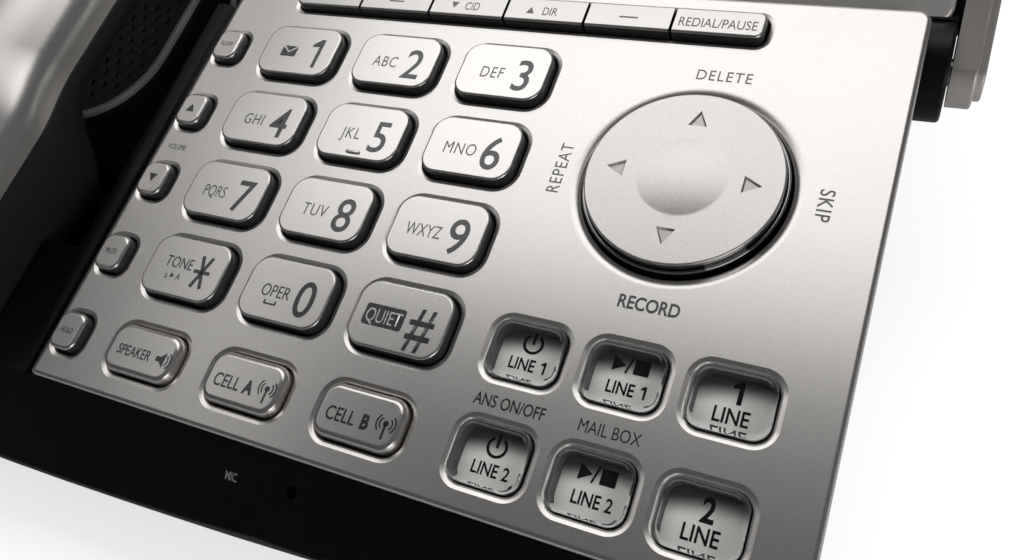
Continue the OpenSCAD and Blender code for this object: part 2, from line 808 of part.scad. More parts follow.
// Lower case: a tub with upright walls, cut off along the underside of the upper case
module lower_case() {
    cx = (tub_x0 + tub_x1) / 2;
    cy = (tub_y0 + tub_y1) / 2;
    w = tub_x1 - tub_x0;
    h = tub_y1 - tub_y0;
    tall = 200;
    color(black)
        difference() {
            union() {
                difference() {
                    translate([cx, cy, foot_h])
                        linear_extrude(tall)
                        polygon(rrect(w, h, tub_corner, 8));
                    translate([cx, cy, tub_floor])
                        linear_extrude(tall)
                        polygon(rrect(w - 2 * wall, h - 2 * wall, tub_corner - wall, 8));
                    on_panel()
                        translate([-tall, -tall, -case_t])
                        cube([3 * tall, 3 * tall, tall]);
                }
                for (p = post_places)
                    translate([p[0], p[1], tub_floor - 0.5])
                    cylinder(r = post_r + 1, h = post_foot - tub_floor + 0.5);
                for (p = standoffs)
                    translate([p[0], p[1], tub_floor - 0.5])
                    cylinder(r = 3, h = main_board_z - tub_floor + 0.5);
            }
            for (p = post_places) {
                translate([p[0], p[1], foot_h - 1])
                    cylinder(r = screw_head_r + loose, h = screw_head_z + 2 - foot_h + 1);
                translate([p[0], p[1], foot_h])
                    cylinder(r = screw_r + loose, h = post_foot);
            }
            for (x = line_jacks)
                translate([x - jack_w / 2 - loose, tub_y1 - 2 * wall, main_top])
                cube([jack_w + 2 * loose, 3 * wall, jack_h + loose]);
            translate([tub_x0 - wall, side_jack_y - jack_w / 2 - loose, main_top])
                cube([3 * wall, jack_w + 2 * loose, jack_h + loose]);
            translate([inlet_x - inlet_w / 2 - loose, tub_y1 - 2 * wall, main_top])
                cube([inlet_w + 2 * loose, 3 * wall, inlet_w + loose]);
        }
}

// Places on the main board
line_jacks = [-jack_x, jack_pitch - jack_x];
side_jack_y = tub_y1 - jack_side;
inlet_x = jack_x / 2;
standoffs = [for (x = [tub_x0 + 26, tub_x1 - 26]) for (y = [tub_y1 - main_len + 10, tub_y1 - 26]) [x, y]];

module main_board() {
    edge = wall + board_gap;
    color(green)
        difference() {
            translate([tub_x0 + edge, tub_y1 - main_len, main_board_z])
                cube([tub_x1 - tub_x0 - 2 * edge, main_len - edge, board_t]);
            for (p = post_places)
                translate([p[0], p[1], main_board_z - 1])
                cylinder(r = post_r + 1 + board_gap, h = board_t + 2);
            for (x = [tub_x0, tub_x1])
                translate([x - tub_corner / 2, tub_y1 - tub_corner / 2, main_board_z - 1])
                cube([tub_corner, tub_corner, board_t + 2]);
        }
}

// A modular socket, its mouth towards +y at the origin
module jack_body(w, h, d, open_w, open_h) {
    back = 3;
    latch = 0.4;
    difference() {
        translate([-w / 2, -d, 0])
            cube([w, d, h]);
        translate([-open_w / 2, back - d, (h - open_h) / 2])
            cube([open_w, d, open_h]);
        translate([-latch * open_w / 2, back - d, (h - open_h) / 4])
            cube([latch * open_w, d, open_h]);
    }
}

// Two line sockets in the rear wall and the handset socket in the left wall
module modular_jacks() {
    color("dimgray") {
        for (x = line_jacks)
            translate([x, tub_y1 - loose, main_top])
            jack_body(jack_w, jack_h, jack_d, jack_open_w, jack_open_h);
        translate([tub_x0 + loose, side_jack_y, main_top])
            rotate(90)
            jack_body(jack_w, jack_h, jack_d, jack_open_w, jack_open_h);
    }
}

module power_inlet() {
    bore_d = jack_d - 4;
    contact_r = 0.9;
    color(black)
        translate([inlet_x, tub_y1 - loose, main_top]) {
            difference() {
                translate([-inlet_w / 2, -jack_d, 0])
                    cube([inlet_w, jack_d, inlet_w]);
                translate([0, 1, inlet_w / 2])
                    rotate([90, 0, 0])
                    cylinder(r = inlet_r, h = bore_d + 1);
            }
            translate([0, -bore_d / 2, inlet_w / 2])
                rotate([90, 0, 0])
                cylinder(r = contact_r, h = bore_d / 2 + 1);
        }
}

module rubber_feet() {
    foot_in = 10;
    color("#303030")
        for (x = [tub_x0 + foot_in, tub_x1 - foot_in])
        for (y = [tub_y0 + foot_in - 1, tub_y1 - post_in - foot_r - screw_head_r - 5])
            translate([x, y, 0])
            cylinder(r = foot_r, h = foot_h);
}

module case_screws() {
    color("lightgray")
        for (p = post_places)
            translate([p[0], p[1], screw_head_z]) {
                cylinder(r = screw_head_r, h = 2, $fn = 48);
                cylinder(r = screw_r, h = screw_len, $fn = 32);
            }
}

// True where a hole of the grille has its full rim
function in_stadium(x, y, half, len) =
    let (over = max(abs(y) - (len / 2 - half), 0)) sqrt(x * x + over * over) < half;

// Perforated grille in the floor of the finger channel
module speaker_grille() {
    inner = grille_half - grille_rim;
    field = inner - grille_hole - 0.6;
    rows = ceil(grille_len / grille_pitch);
    cols = ceil(grille_half / grille_pitch);
    color(black)
        on_panel()
        translate([handset_u, mid_v, -channel_depth])
        difference() {
            union() {
                linear_extrude(grille_rise)
                    polygon(stadium(grille_half, grille_len));
                translate([0, 0, -wall])
                    linear_extrude(wall)
                    polygon(stadium(inner, grille_len - 2 * grille_rim));
            }
            for (j = [-rows:rows]) for (i = [-cols:cols])
                let (x = (i + abs(j % 2) / 2) * grille_pitch, y = j * grille_pitch * 0.866)
                if (in_stadium(x, y, field, grille_len - 2 * (grille_half - field)))
                    translate([x, y, -wall - 1])
                    cylinder(r = grille_hole, h = wall + grille_rise + 2, $fn = 16);
        }
}

// Loudspeaker against the underside of the channel floor
module speaker() {
    rim_t = 2.4;
    magnet_r = 0.65 * speaker_r;
    color("gray")
        on_panel()
        translate([handset_u, mid_v, -channel_depth - wall])
        rotate_extrude()
        polygon([[0, -speaker_d], [magnet_r, -speaker_d], [magnet_r, -speaker_d / 2],
            [speaker_r - 1.5, -rim_t], [speaker_r, -rim_t], [speaker_r, 0], [speaker_r - 1.5, 0],
            [magnet_r / 2, -speaker_d / 3], [0, -speaker_d / 4]]);
}

module base_microphone() {
    color("lightgray")
        on_panel()
        translate([mic_u, 0, mic_z])
        rotate([90, 0, 0])
        cylinder(r = mic_r, h = mic_len, $fn = 48);
}

// Button in the ear well that the handset holds down
module hook_button() {
    top = -well_depth + well_gap / 2;
    flange_z = -well_depth - wall - hook_travel - 0.2;
    color(dark)
        on_panel()
        translate([handset_u, ear_v0 + hook_in, 0]) {
            translate([0, 0, flange_z - 1])
                cylinder(r = hook_r, h = top - flange_z + 1);
            translate([0, 0, flange_z - 1])
                cylinder(r = hook_r + 1.5, h = 1);
        }
}

// Room for the two hinge bosses at the display's lower corners
module boss_clearance() {
    both_sides()
        translate([case_right - 0.6, 0, 0])
        rotate([0, 90, 0])
        cylinder(r = boss_room, h = panel_overhang + arm_out + arm_w);
}

// Rear case of the display, hollow for the module
module display_case() {
    soft = 3;
    color(black)
        on_display()
        difference() {
            along_u(-arm_out, fascia_w + arm_out)
                polygon(concat([[display_end, display_face], [display_start, display_face]],
                    arc(display_start + soft, display_back + soft, soft, 180, 270),
                    arc(display_end - 2 * soft, display_back + 2 * soft, 2 * soft, 270, 360)));
            boss_clearance();
            translate([fascia_w / 2 - window_w / 2 - 2, window_mid - window_h / 2 - 2, display_face - lcd_t])
                cube([window_w + 4, window_h + 4, lcd_t + 1]);
        }
}

// Silver bezel with the window's opening
module display_frame() {
    w = fascia_w + 2 * arm_out - 2 * bezel_inset;
    bevel = 0.6;
    color(silver)
        on_display()
        difference() {
            translate([fascia_w / 2, window_mid, 0])
                loft([
                    at_z(rrect(w, display_h, 3), display_face),
                    at_z(rrect(w, display_h, 3), bezel_front - bevel),
                    at_z(rrect(w - 2 * bevel, display_h - 2 * bevel, 3 - bevel), bezel_front)
                ]);
            translate([fascia_w / 2, window_mid, display_face - 1])
                linear_extrude(bezel_t + 2)
                polygon(rrect(window_w, window_h, 2));
            boss_clearance();
        }
}

module display_window() {
    gap = 2 * seat_gap;
    color("lightsteelblue", 0.4)
        on_display()
        translate([fascia_w / 2, window_mid, display_face])
        linear_extrude(window_t)
        polygon(rrect(window_w - gap, window_h - gap, 2 - seat_gap));
}

module lcd_module() {
    gap = 2 * seat_gap;
    w = window_w + 4 - gap;
    h = window_h + 4 - gap;
    color("darkseagreen")
        on_display()
        translate([fascia_w / 2 - w / 2, window_mid - h / 2, display_face - lcd_t])
        cube([w, h, lcd_t]);
}

// Arm along each side of the display, round at the hinge
module display_arms() {
    soft = 4;
    shoulder = 2 * arm_end_r;
    color("lightgray")
        on_display()
        both_sides()
        difference() {
            along_u(fascia_w + arm_out, fascia_w + arm_out + arm_w)
                polygon(concat(
                    arc(0, 0, arm_end_r, 90, 250, 16),
                    [[shoulder, display_back]],
                    arc(display_end - soft, display_back + soft, soft, 270, 360),
                    [[display_end, bezel_front], [shoulder, bezel_front]]));
            translate([fascia_w + arm_out - 1, 0, 0])
                rotate([0, 90, 0])
                cylinder(r = pin_r + arm_fit, h = pin_in_arm + 1);
        }
}

module hinge_pins() {
    inner = case_right - wall + 0.8;
    color("lightgray")
        on_panel()
        both_sides()
        translate([inner, hinge_v, hinge_z])
        rotate([0, 90, 0])
        cylinder(r = pin_r, h = fascia_w + arm_out + pin_in_arm - 0.2 - inner);
}

// Smooth step from 0 to 1
function ease(t) = let (k = min(max(t, 0), 1)) k * k * (3 - 2 * k);
// Signed power, for rounded-square sections
function spow(x, p) = sign(x) * pow(abs(x), p);
// Rounding of an end, a distance in from its tip
function end_round(d, r, e) = d >= r ? 1 : pow(1 - pow((r - d) / r, e), 1 / e);

half_len = handset_len / 2;
handset_mid = handset_v0 + half_len;
pod_drop = well_depth - well_gap;
pod_start = handle_len / 2 + pod_ramp;

// How far a place along the handset belongs to an end (1) or to the handle (0)
function pod(s) = ease((abs(s) - handle_len / 2) / pod_ramp);
function hand_half(s) =
    (handle_w + (handset_w - handle_w) * pod(s)) / 2 * end_round(half_len - abs(s), end_r, 2.4);
function hand_rise(s) =
    (handset_top - parting - 3 * pow(s / half_len, 2)) * end_round(half_len - abs(s), nose_r, 2.2);
function hand_drop(s) =
    (parting - handle_lift + (handle_lift + pod_drop) * pod(s)) * end_round(half_len - abs(s), nose_r, 2.2);

// Places of the sections, from the middle out to one tip
half_stations = concat(
    [0.3 * handle_len, 0.5 * handle_len],
    [for (k = [0.2:0.2:1]) handle_len / 2 + k * pod_ramp],
    [(pod_start + half_len - end_r) / 2, half_len - end_r],
    [for (a = [75:-15:15]) half_len - end_r * (1 - cos(a))]
);
stations = concat(
    [for (i = [len(half_stations) - 1:-1:0]) -half_stations[i]],
    [0],
    half_stations
);

// Half sections of the handset: over the parting line, and under it
function shell_ring(s) = [for (t = [-90:15:90])
    [handset_u + hand_half(s) * spow(sin(t), 0.8), handset_mid + s,
        parting + hand_rise(s) * spow(cos(t), 0.62)]];
function face_ring(s) = [for (t = [90:15:270])
    [handset_u + hand_half(s) * spow(sin(t), 0.62), handset_mid + s,
        parting + hand_drop(s) * spow(cos(t), 0.5)]];

// Silver back of the handset
module handset_shell() {
    color(silver)
        on_panel()
        loft([for (s = stations) shell_ring(s)]);
}

ear_at = handset_v1 - 28;
mouth_at = handset_v0 + 28;
pocket_z = 2 - pod_drop;
hand_jack_z = -5.4;

// Black face of the handset with its pockets and sound holes
module handset_face() {
    color(black)
        on_panel()
        difference() {
            loft([for (s = stations) face_ring(s)]);
            translate([handset_u, ear_at, pocket_z])
                cylinder(r = receiver_r + loose, h = receiver_t + loose);
            translate([handset_u, mouth_at, pocket_z])
                cylinder(r = mic_r + loose, h = mic_len + loose);
            for (a = [0:45:315])
                translate([handset_u + 6 * cos(a), ear_at + 6 * sin(a), -well_depth])
                cylinder(r = sound_hole, h = well_depth + pocket_z + 0.5, $fn = 24);
            for (x = [-2.4, 0, 2.4])
                translate([handset_u + x, mouth_at, -well_depth])
                cylinder(r = sound_hole, h = well_depth + pocket_z + 0.5, $fn = 24);
            translate([handset_u - hand_jack_w / 2 - loose, handset_v0 - 1, hand_jack_z - loose])
                cube([hand_jack_w + 2 * loose, hand_jack_d + 3 + loose, hand_jack_h + 2 * loose]);
        }
}

module ear_receiver() {
    color("gray")
        on_panel()
        translate([handset_u, ear_at, pocket_z])
        cylinder(r = receiver_r, h = receiver_t);
}

module mouth_microphone() {
    color("gray")
        on_panel()
        translate([handset_u, mouth_at, pocket_z])
        cylinder(r = mic_r, h = mic_len);
}

// Socket for the cord in the front end of the handset
module handset_jack() {
    open_w = hand_jack_w - 2 * hand_jack_wall;
    open_h = hand_jack_h - 2 * hand_jack_wall;
    color("dimgray")
        on_panel()
        translate([handset_u, handset_v0 + 2, hand_jack_z])
        mirror([0, 1, 0])
        jack_body(hand_jack_w, hand_jack_h, hand_jack_d, open_w, open_h);
}

for (i = [0:len(dial_keys) - 1]) dial_key(i);
for (i = [0:len(function_keys) - 1]) function_key(i);
for (i = [0:len(side_keys) - 1]) side_key(i);
for (i = [0:len(soft_keys) - 1]) soft_key(i);
for (i = [0:len(clear_keys) - 1]) clear_key(i);
nav_disc();
nav_ring();
nav_rocker();
fascia_panel();
keypad_mat();
key_board();
upper_case();
lower_case();
case_screws();
rubber_feet();
main_board();
modular_jacks();
power_inlet();
speaker_grille();
speaker();
base_microphone();
hook_button();
display_case();
display_frame();
display_window();
lcd_module();
display_arms();
hinge_pins();
handset_shell();
handset_face();
ear_receiver();
mouth_microphone();
handset_jack();
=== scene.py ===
"""Looks of a two-line desk telephone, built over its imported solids.

Lengths on the panel are millimetres: u to the right, v up the slope, z out of the panel face.
Lengths on the display are millimetres from its hinge: u, then w up the display, then d out of its face.
"""

import json
import math

import bmesh
import bpy
from mathutils import Euler, Matrix, Vector


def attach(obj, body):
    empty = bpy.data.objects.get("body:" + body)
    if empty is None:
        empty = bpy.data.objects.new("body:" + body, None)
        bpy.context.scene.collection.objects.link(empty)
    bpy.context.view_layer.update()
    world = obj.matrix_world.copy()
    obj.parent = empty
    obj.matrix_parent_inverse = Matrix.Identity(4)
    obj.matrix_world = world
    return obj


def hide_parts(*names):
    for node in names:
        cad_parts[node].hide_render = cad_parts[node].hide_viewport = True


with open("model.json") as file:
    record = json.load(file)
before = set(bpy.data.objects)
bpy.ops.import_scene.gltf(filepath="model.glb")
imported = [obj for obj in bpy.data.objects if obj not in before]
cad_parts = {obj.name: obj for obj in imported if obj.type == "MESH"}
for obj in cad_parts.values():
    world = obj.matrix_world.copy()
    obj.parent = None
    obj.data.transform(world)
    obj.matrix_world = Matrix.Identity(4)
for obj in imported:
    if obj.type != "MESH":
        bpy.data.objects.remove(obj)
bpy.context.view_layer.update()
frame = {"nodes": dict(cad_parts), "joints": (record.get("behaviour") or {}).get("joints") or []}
NODES = frame["nodes"]
JOINTS = {j["name"]: j for j in frame["joints"]}
MM = Matrix.Scale(0.001, 4)

# Sizes of the panel and its keys
FASCIA_T = 2.2
FASCIA_BEVEL = 0.8
FASCIA_CORNER = 2.0
FASCIA_ROLL = 2.0
RIM_W = 0.85
RIM_SHELF = 0.5
KEY_GAP = 0.3
KEY_EDGE = {"dial": 0.42, "func": 0.95, "side": 0.6, "soft": 0.42}
KEY_FLANGE = 0.7
KEY_FOOT = -3.2
SOFT_FLANGE = 0.1
LENS_FOOT = -0.5
LABEL_TOP = -2.8
TRAY_WALL = 0.4
LENS_OVER = 0.15
# What shows of a key against its solid: to the right, up the panel, wider, taller, higher
KEY_TRIM = {"dial": (0.3, 0.1, 0.6, -0.3, -0.6), "func": (0, 0, 0, 0, -0.7)}
CORNERS = {"dial": 2.9, "func": 2.5, "side": 1.7, "clear": 2.1, "soft": 1.3}
# A face of a key takes the near-black painted shade of its skirt where its normal rises less than this out of the
# panel
SIDE_SHADE_FROM = {"dial": 0.45, "func": -0.5, "side": 0.3, "soft": 0.45}
LIP_SLOPE = math.radians(23)
LIP_STEP = 0.9
SEAT_GAP = 0.15
PRINT_LIFT = 0.025
PRINT_T = 0.01
# Height of a capital letter against the size of its type
CAPITAL = 0.729
# Share of a sunk label's depth that shows through its lens
SEEN_DEPTH = 0.8

# Sizes of the display's hinge, the handset and the sockets
BOSS_ROOM = 8.0
BOSS_R = 7.4
HINGE_V = 82.6
HINGE_Z = -10.0
MIC_U = 54.0
KNUCKLE_IN = 2.6
HAND_LEN = 188.5
HAND_W = 54.0
HANDLE_W = 50.0
HANDLE_LEN = 73.3
HANDLE_LIFT = 3.5
HAND_TOP = 21.0
PARTING = 10.4
POD_RAMP = 14.0
POD_DROP = 13.6
END_R = 14.0
NOSE_R = 7.0
SEAM = 0.3
SOUND_HOLE = 0.9
LINE_SOCKETS = (-40.0, -20.0)
SIDE_SOCKET = 31.9

DIAL_KEYS = ["1", "2", "3", "4", "5", "6", "7", "8", "9", "star", "0", "pound"]
FUNCTION_KEYS = ["speaker_key", "cell_key_a", "cell_key_b"]
SIDE_KEYS = ["flash_key", "volume_up_key", "volume_down_key", "mute_key", "hold_key"]
SOFT_KEYS = ["soft_key_%d" % n for n in range(1, 7)]
CLEAR_KEYS = ["answer_key_1", "play_key_1", "line_key_1", "answer_key_2", "play_key_2", "line_key_2"]


# Frames of the panel and the display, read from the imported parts

def span(node, place):
    """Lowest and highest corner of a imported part, measured in a frame."""
    back = place.inverted()
    points = [back @ v.co for v in NODES[node].data.vertices]
    return (Vector([min(p[i] for p in points) for i in range(3)]),
            Vector([max(p[i] for p in points) for i in range(3)]))


lift = Vector(JOINTS["handset_lift"]["axis"])
SLOPE = Matrix.Rotation(math.atan2(-lift.y, lift.z), 4, "X")
panel_low, panel_high = span("fascia_panel", SLOPE)
PANEL_CORNER = SLOPE @ Vector((panel_low.x, panel_low.y, panel_high.z))
PANEL = Matrix.Translation(PANEL_CORNER) @ SLOPE @ MM

module_front = max(NODES["lcd_module"].data.polygons, key=lambda p: p.area).normal.copy()
if module_front.z < 0:
    module_front.negate()
hinge = JOINTS["display_tilt"]["pos_m"]
DISPLAY = (Matrix.Translation((PANEL_CORNER.x, hinge[1], hinge[2]))
           @ Matrix.Rotation(math.atan2(-module_front.y, module_front.z), 4, "X") @ MM)


def key_plan(node, kind):
    """Middle, width, height and top of a key above the flange it hides under the panel."""
    low, high = span(node, PANEL)
    flange = SOFT_FLANGE if kind == "soft" else KEY_FLANGE
    middle = (low + high) / 2
    seen = middle.x, middle.y, high.x - low.x - 2 * flange, high.y - low.y - 2 * KEY_FLANGE, high.z
    return [length + trim for length, trim in zip(seen, KEY_TRIM.get(kind, (0, 0, 0, 0, 0)))]


KINDS = {**{"dial_key_" + n: "dial" for n in DIAL_KEYS}, **{n: "func" for n in FUNCTION_KEYS},
         **{n: "side" for n in SIDE_KEYS}, **{n: "soft" for n in SOFT_KEYS}, **{n: "clear" for n in CLEAR_KEYS}}
PLANS = {node: key_plan(node, kind) for node, kind in KINDS.items()}
FASCIA_W, FASCIA_H = [(panel_high - panel_low)[i] * 1000 for i in range(2)]
pad_low, pad_high = span("nav_disc", PANEL)
PAD_U, PAD_V = (pad_low.x + pad_high.x) / 2, (pad_low.y + pad_high.y) / 2

hand_low, hand_high = span("handset_shell", PANEL)
HAND_U, HAND_MID = (hand_low.x + hand_high.x) / 2, (hand_low.y + hand_high.y) / 2


# Camera, its turn and shift measured from the middle of the dial's 2 key in a frame with y down and z away

SENSOR_W = 36
# Focal length against the width of the picture
FOCAL_SHARE = 867.391 / 1024
SIGHT_TURN = (2.7610001, 0.4011487, 0.2022241)
SIGHT_SHIFT = (-19.0687, -36.1929, 146.3423)


def aim_camera():
    """Places the camera against the panel."""
    sight = Euler(SIGHT_TURN).to_matrix()
    eye = -(sight.transposed() @ Vector(SIGHT_SHIFT))
    turn = sight.transposed() @ Matrix.Diagonal((1, -1, -1))
    key_u, key_v = PLANS["dial_key_2"][:2]
    lens = bpy.data.cameras.new("camera")
    lens.sensor_width = SENSOR_W
    lens.lens = SENSOR_W * FOCAL_SHARE
    lens.clip_start, lens.clip_end = 0.005, 20
    camera = bpy.data.objects.new("camera", lens)
    bpy.context.scene.collection.objects.link(camera)
    spot = PANEL @ (eye + Vector((key_u, key_v, 0)))
    camera.matrix_world = Matrix.Translation(spot) @ SLOPE @ turn.to_4x4()
    bpy.context.scene.camera = camera


aim_camera()


# Finishes

class Shade:
    """A shader value. Arithmetic on it adds the Math nodes to its finish."""

    def __init__(self, finish, socket):
        self.finish = finish
        self.socket = socket

    def math(self, operation, first, second):
        return self.finish.node("ShaderNodeMath", {"operation": operation}, {0: first, 1: second})

    def __add__(self, other):
        return self.math("ADD", self, other)

    def __radd__(self, other):
        return self.math("ADD", other, self)

    def __sub__(self, other):
        return self.math("SUBTRACT", self, other)

    def __rsub__(self, other):
        return self.math("SUBTRACT", other, self)

    def __mul__(self, other):
        return self.math("MULTIPLY", self, other)

    def __rmul__(self, other):
        return self.math("MULTIPLY", other, self)

    def over(self, limit):
        return self.math("GREATER_THAN", self, limit)


class Finish:
    """A material with one Principled shader whose patterns follow Object coordinates."""

    def __init__(self, name):
        self.material = bpy.data.materials.new(name)
        self.material.use_nodes = True
        self.tree = self.material.node_tree
        self.tree.nodes.clear()
        self.shader = self.tree.nodes.new("ShaderNodeBsdfPrincipled")
        output = self.tree.nodes.new("ShaderNodeOutputMaterial")
        self.output = output.inputs[0]
        self.tree.links.new(self.shader.outputs[0], self.output)
        self.point = self.node("ShaderNodeTexCoord", output="Object")

    def fill(self, node, sockets):
        for name, value in sockets.items():
            if isinstance(value, Shade):
                self.tree.links.new(value.socket, node.inputs[name])
            else:
                node.inputs[name].default_value = value

    def node(self, kind, settings=None, sockets=None, output=0):
        made = self.tree.nodes.new(kind)
        for name, value in (settings or {}).items():
            setattr(made, name, value)
        self.fill(made, sockets or {})
        return Shade(self, made.outputs[output])

    def noise(self, scale, detail=2.0, rough=0.5):
        return self.node("ShaderNodeTexNoise", None,
                         {"Vector": self.point, "Scale": scale, "Detail": detail, "Roughness": rough})

    def blend(self, share, first, second):
        return self.node("ShaderNodeMix", {"data_type": "RGBA"}, {0: share, 6: first, 7: second}, output=2)

    def bump(self, height, strength, depth):
        return self.node("ShaderNodeBump", None, {"Height": height, "Strength": strength, "Distance": depth})

    def coat(self, sockets):
        self.fill(self.shader, sockets)
        return self

    def let_light_through(self):
        """Lamps light what lies under a clear finish."""
        gap = self.node("ShaderNodeBsdfTransparent")
        shadow = self.node("ShaderNodeLightPath", output="Is Shadow Ray")
        mixed = self.node("ShaderNodeMixShader", None, {0: shadow, 1: Shade(self, self.shader.outputs[0]), 2: gap})
        self.tree.links.new(mixed.socket, self.output)
        return self


def grey(value, warm=0.0):
    """A grey, or one that leans to red."""
    return (value * (1 + warm), value, value * (1 - warm), 1)


def silver_paint(name, tone, rough, sparkle):
    """Satin metallic paint: a fine flake in tone, gloss and relief, and a slow drift of gloss."""
    flake_scale, drift_scale, warm, relief = 4600, 45, 0.035, 0.00006
    f = Finish(name)
    flake = f.noise(flake_scale, 2.0, 0.6)
    drift = f.noise(drift_scale, 2.0)
    return f.coat({
        "Base Color": f.blend(flake, grey(tone * (1 - sparkle), warm), grey(tone * (1 + sparkle), warm)),
        "Metallic": 0.92,
        "Roughness": rough + (flake - 0.5) * (0.4 * sparkle) + (drift - 0.5) * 0.04,
        "Normal": f.bump(flake, 0.25 * sparkle, relief)})


def moulded(name, tone, rough, pit=2600, relief=0.1, shine=0.5):
    """Moulded plastic: a spark-eroded texture with faint scuffs in the gloss."""
    scuff_scale, depth = 70, 0.00008
    f = Finish(name)
    texture = f.noise(pit, 3.0, 0.6)
    scuff = f.noise(scuff_scale, 4.0, 0.65)
    return f.coat({
        "Base Color": f.blend(scuff, grey(tone * 0.85), grey(tone * 1.2)),
        "Roughness": rough + (texture - 0.5) * 0.18 + (scuff - 0.5) * 0.14,
        "Specular IOR Level": shine,
        "Normal": f.bump(texture, relief, depth)})


def plated(name, tone, rough, warm=0.01):
    """Bright plating with a faint orange peel and wipe marks."""
    peel_scale, wipe_scale, depth = 420, 90, 0.00005
    f = Finish(name)
    peel = f.noise(peel_scale, 2.0)
    wipe = f.noise(wipe_scale, 4.0, 0.6)
    return f.coat({
        "Base Color": f.blend(wipe, grey(tone * 0.95, warm), grey(tone * 1.04, warm)),
        "Metallic": 1.0,
        "Roughness": rough + (wipe - 0.5) * 0.06,
        "Normal": f.bump(peel, 0.04, depth)})


INK_SPREAD = 1800


def printed(name, tone, rough, shine=0.5):
    """Pad-printed ink: a little uneven in tone and gloss."""
    f = Finish(name)
    spread = f.noise(INK_SPREAD, 3.0)
    return f.coat({
        "Base Color": f.blend(spread, grey(tone * 0.9), grey(tone * 1.1)),
        "Roughness": rough + (spread - 0.5) * 0.2, "Specular IOR Level": shine})


def label_film_with_painted_shadow(name, tone, dark):
    """Pale label film with a painted shadow: it darkens up its length, sooner on the left, standing in for the shade
    of the well's upper wall.
    """
    lean, starts, ends, warm = 0.25, 0.52, 0.95, 0.03
    f = Finish(name)
    spread = f.noise(INK_SPREAD, 3.0)
    place = f.node("ShaderNodeTexCoord", output="UV")
    across, up = [f.node("ShaderNodeSeparateXYZ", None, {0: place}, output=axis) for axis in ("X", "Y")]
    # Painted shadow: darker up the label and towards its left, where the well's wall would shade it.
    painted_shadow = f.node("ShaderNodeMapRange", {"interpolation_type": "SMOOTHSTEP"},
                  {"Value": up + (0.5 - across) * lean, "From Min": starts, "From Max": ends})
    pale = f.blend(spread, grey(tone * 0.95, warm), grey(tone * 1.05, warm))
    return f.coat({"Base Color": f.blend(painted_shadow, pale, grey(dark)), "Roughness": 0.6 + (spread - 0.5) * 0.2,
                   "Specular IOR Level": 0.2})


def clear_moulding(name, tint, rough):
    """Clear moulded plastic with a faint surface ripple."""
    ripple_scale, depth, acrylic = 260, 0.00004, 1.49
    f = Finish(name)
    ripple = f.noise(ripple_scale, 2.0)
    return f.coat({
        "Base Color": tint, "Roughness": rough, "IOR": acrylic, "Transmission Weight": 1.0,
        "Normal": f.bump(ripple, 0.02, depth)}).let_light_through()


def crystal_face():
    """Unlit liquid crystal glass: a grey-green field of faint square dots."""
    dot, gap, cloud_scale = 0.00062, 0.00006, 30
    dot_green, dim_green = (0.215, 0.245, 0.2, 1), (0.205, 0.235, 0.192, 1)
    gap_green, cloud_green = (0.255, 0.285, 0.235, 1), (0.24, 0.27, 0.22, 1)
    f = Finish("crystal_face")
    dots = f.node("ShaderNodeTexBrick", {"offset": 0.0, "squash": 1.0}, {
        "Vector": f.point, "Scale": 1.0, "Mortar Size": gap, "Mortar Smooth": 0.2, "Brick Width": dot,
        "Row Height": dot, "Color1": dot_green, "Color2": dim_green, "Mortar": gap_green})
    cloud = f.noise(cloud_scale, 2.0)
    return f.coat({"Base Color": f.blend(cloud, dots, cloud_green), "Roughness": 0.28 + cloud * 0.08})


def circuit_board():
    """Green lacquer over copper tracks."""
    track_scale, bare_green, track_green = 210.0, (0.02, 0.1, 0.045, 1), (0.035, 0.17, 0.08, 1)
    f = Finish("circuit_board")
    tracks = f.node("ShaderNodeTexVoronoi", {"distance": "MANHATTAN", "feature": "F1"},
                    {"Vector": f.point, "Scale": track_scale})
    edge = (tracks * 3.2).over(1.0)
    return f.coat({
        "Base Color": f.blend(edge, bare_green, track_green),
        "Roughness": 0.3 + edge * 0.1, "Coat Weight": 0.4})


SILVER = silver_paint("satin_silver_paint", 0.72, 0.3, 0.16)
KEY_SILVER = silver_paint("key_silver_paint", 0.74, 0.28, 0.012)
SOFT_SILVER = silver_paint("soft_key_silver_paint", 0.64, 0.3, 0.012)
PAD_SILVER = silver_paint("pad_silver_paint", 0.64, 0.34, 0.28)
# Darker silver painted as shade on the floors of the pad's sunk arrows.
ARROW_FLOOR_SHADE = silver_paint("arrow_floor_painted_shade", 0.5, 0.4, 0.08)
BEZEL_SILVER = silver_paint("bezel_silver_paint", 0.85, 0.5, 0.1)
# Near-black painted shade for the keys' sides, standing in for the dark that their silver reflects.
KEY_SIDE_SHADE = moulded("key_side_painted_shade", 0.03, 0.3, 3000, 0.04)
CASE_BLACK = moulded("case_black_plastic", 0.004, 0.36, shine=0.25)
GRIP_BLACK = moulded("handset_black_plastic", 0.014, 0.34)
GRILLE_BLACK = moulded("grille_black_paint", 0.035, 0.45, 1500, 0.12)
SOCKET_DARK = moulded("socket_dark_plastic", 0.05, 0.42)
RING_CHROME = plated("ring_dark_chrome", 0.42, 0.05)
ARM_SILVER = plated("arm_bright_paint", 0.72, 0.5, 0.05)
STEEL = plated("zinc_plated_steel", 0.55, 0.28)
CONTACT = plated("tinned_contact", 0.6, 0.22)
CLEAR = clear_moulding("clear_key_plastic", (0.96, 0.97, 0.96, 1), 0.02)
WINDOW = clear_moulding("display_window_plastic", (0.8, 0.83, 0.82, 1), 0.01)
# Near-black painted shade: the tray's tone deepens the shade inside the clear keys' wells.
WELL_SHADE_TRAY = moulded("label_tray_painted_shade", 0.05, 0.5)
BEAD = moulded("grille_bead_plastic", 0.3, 0.4)
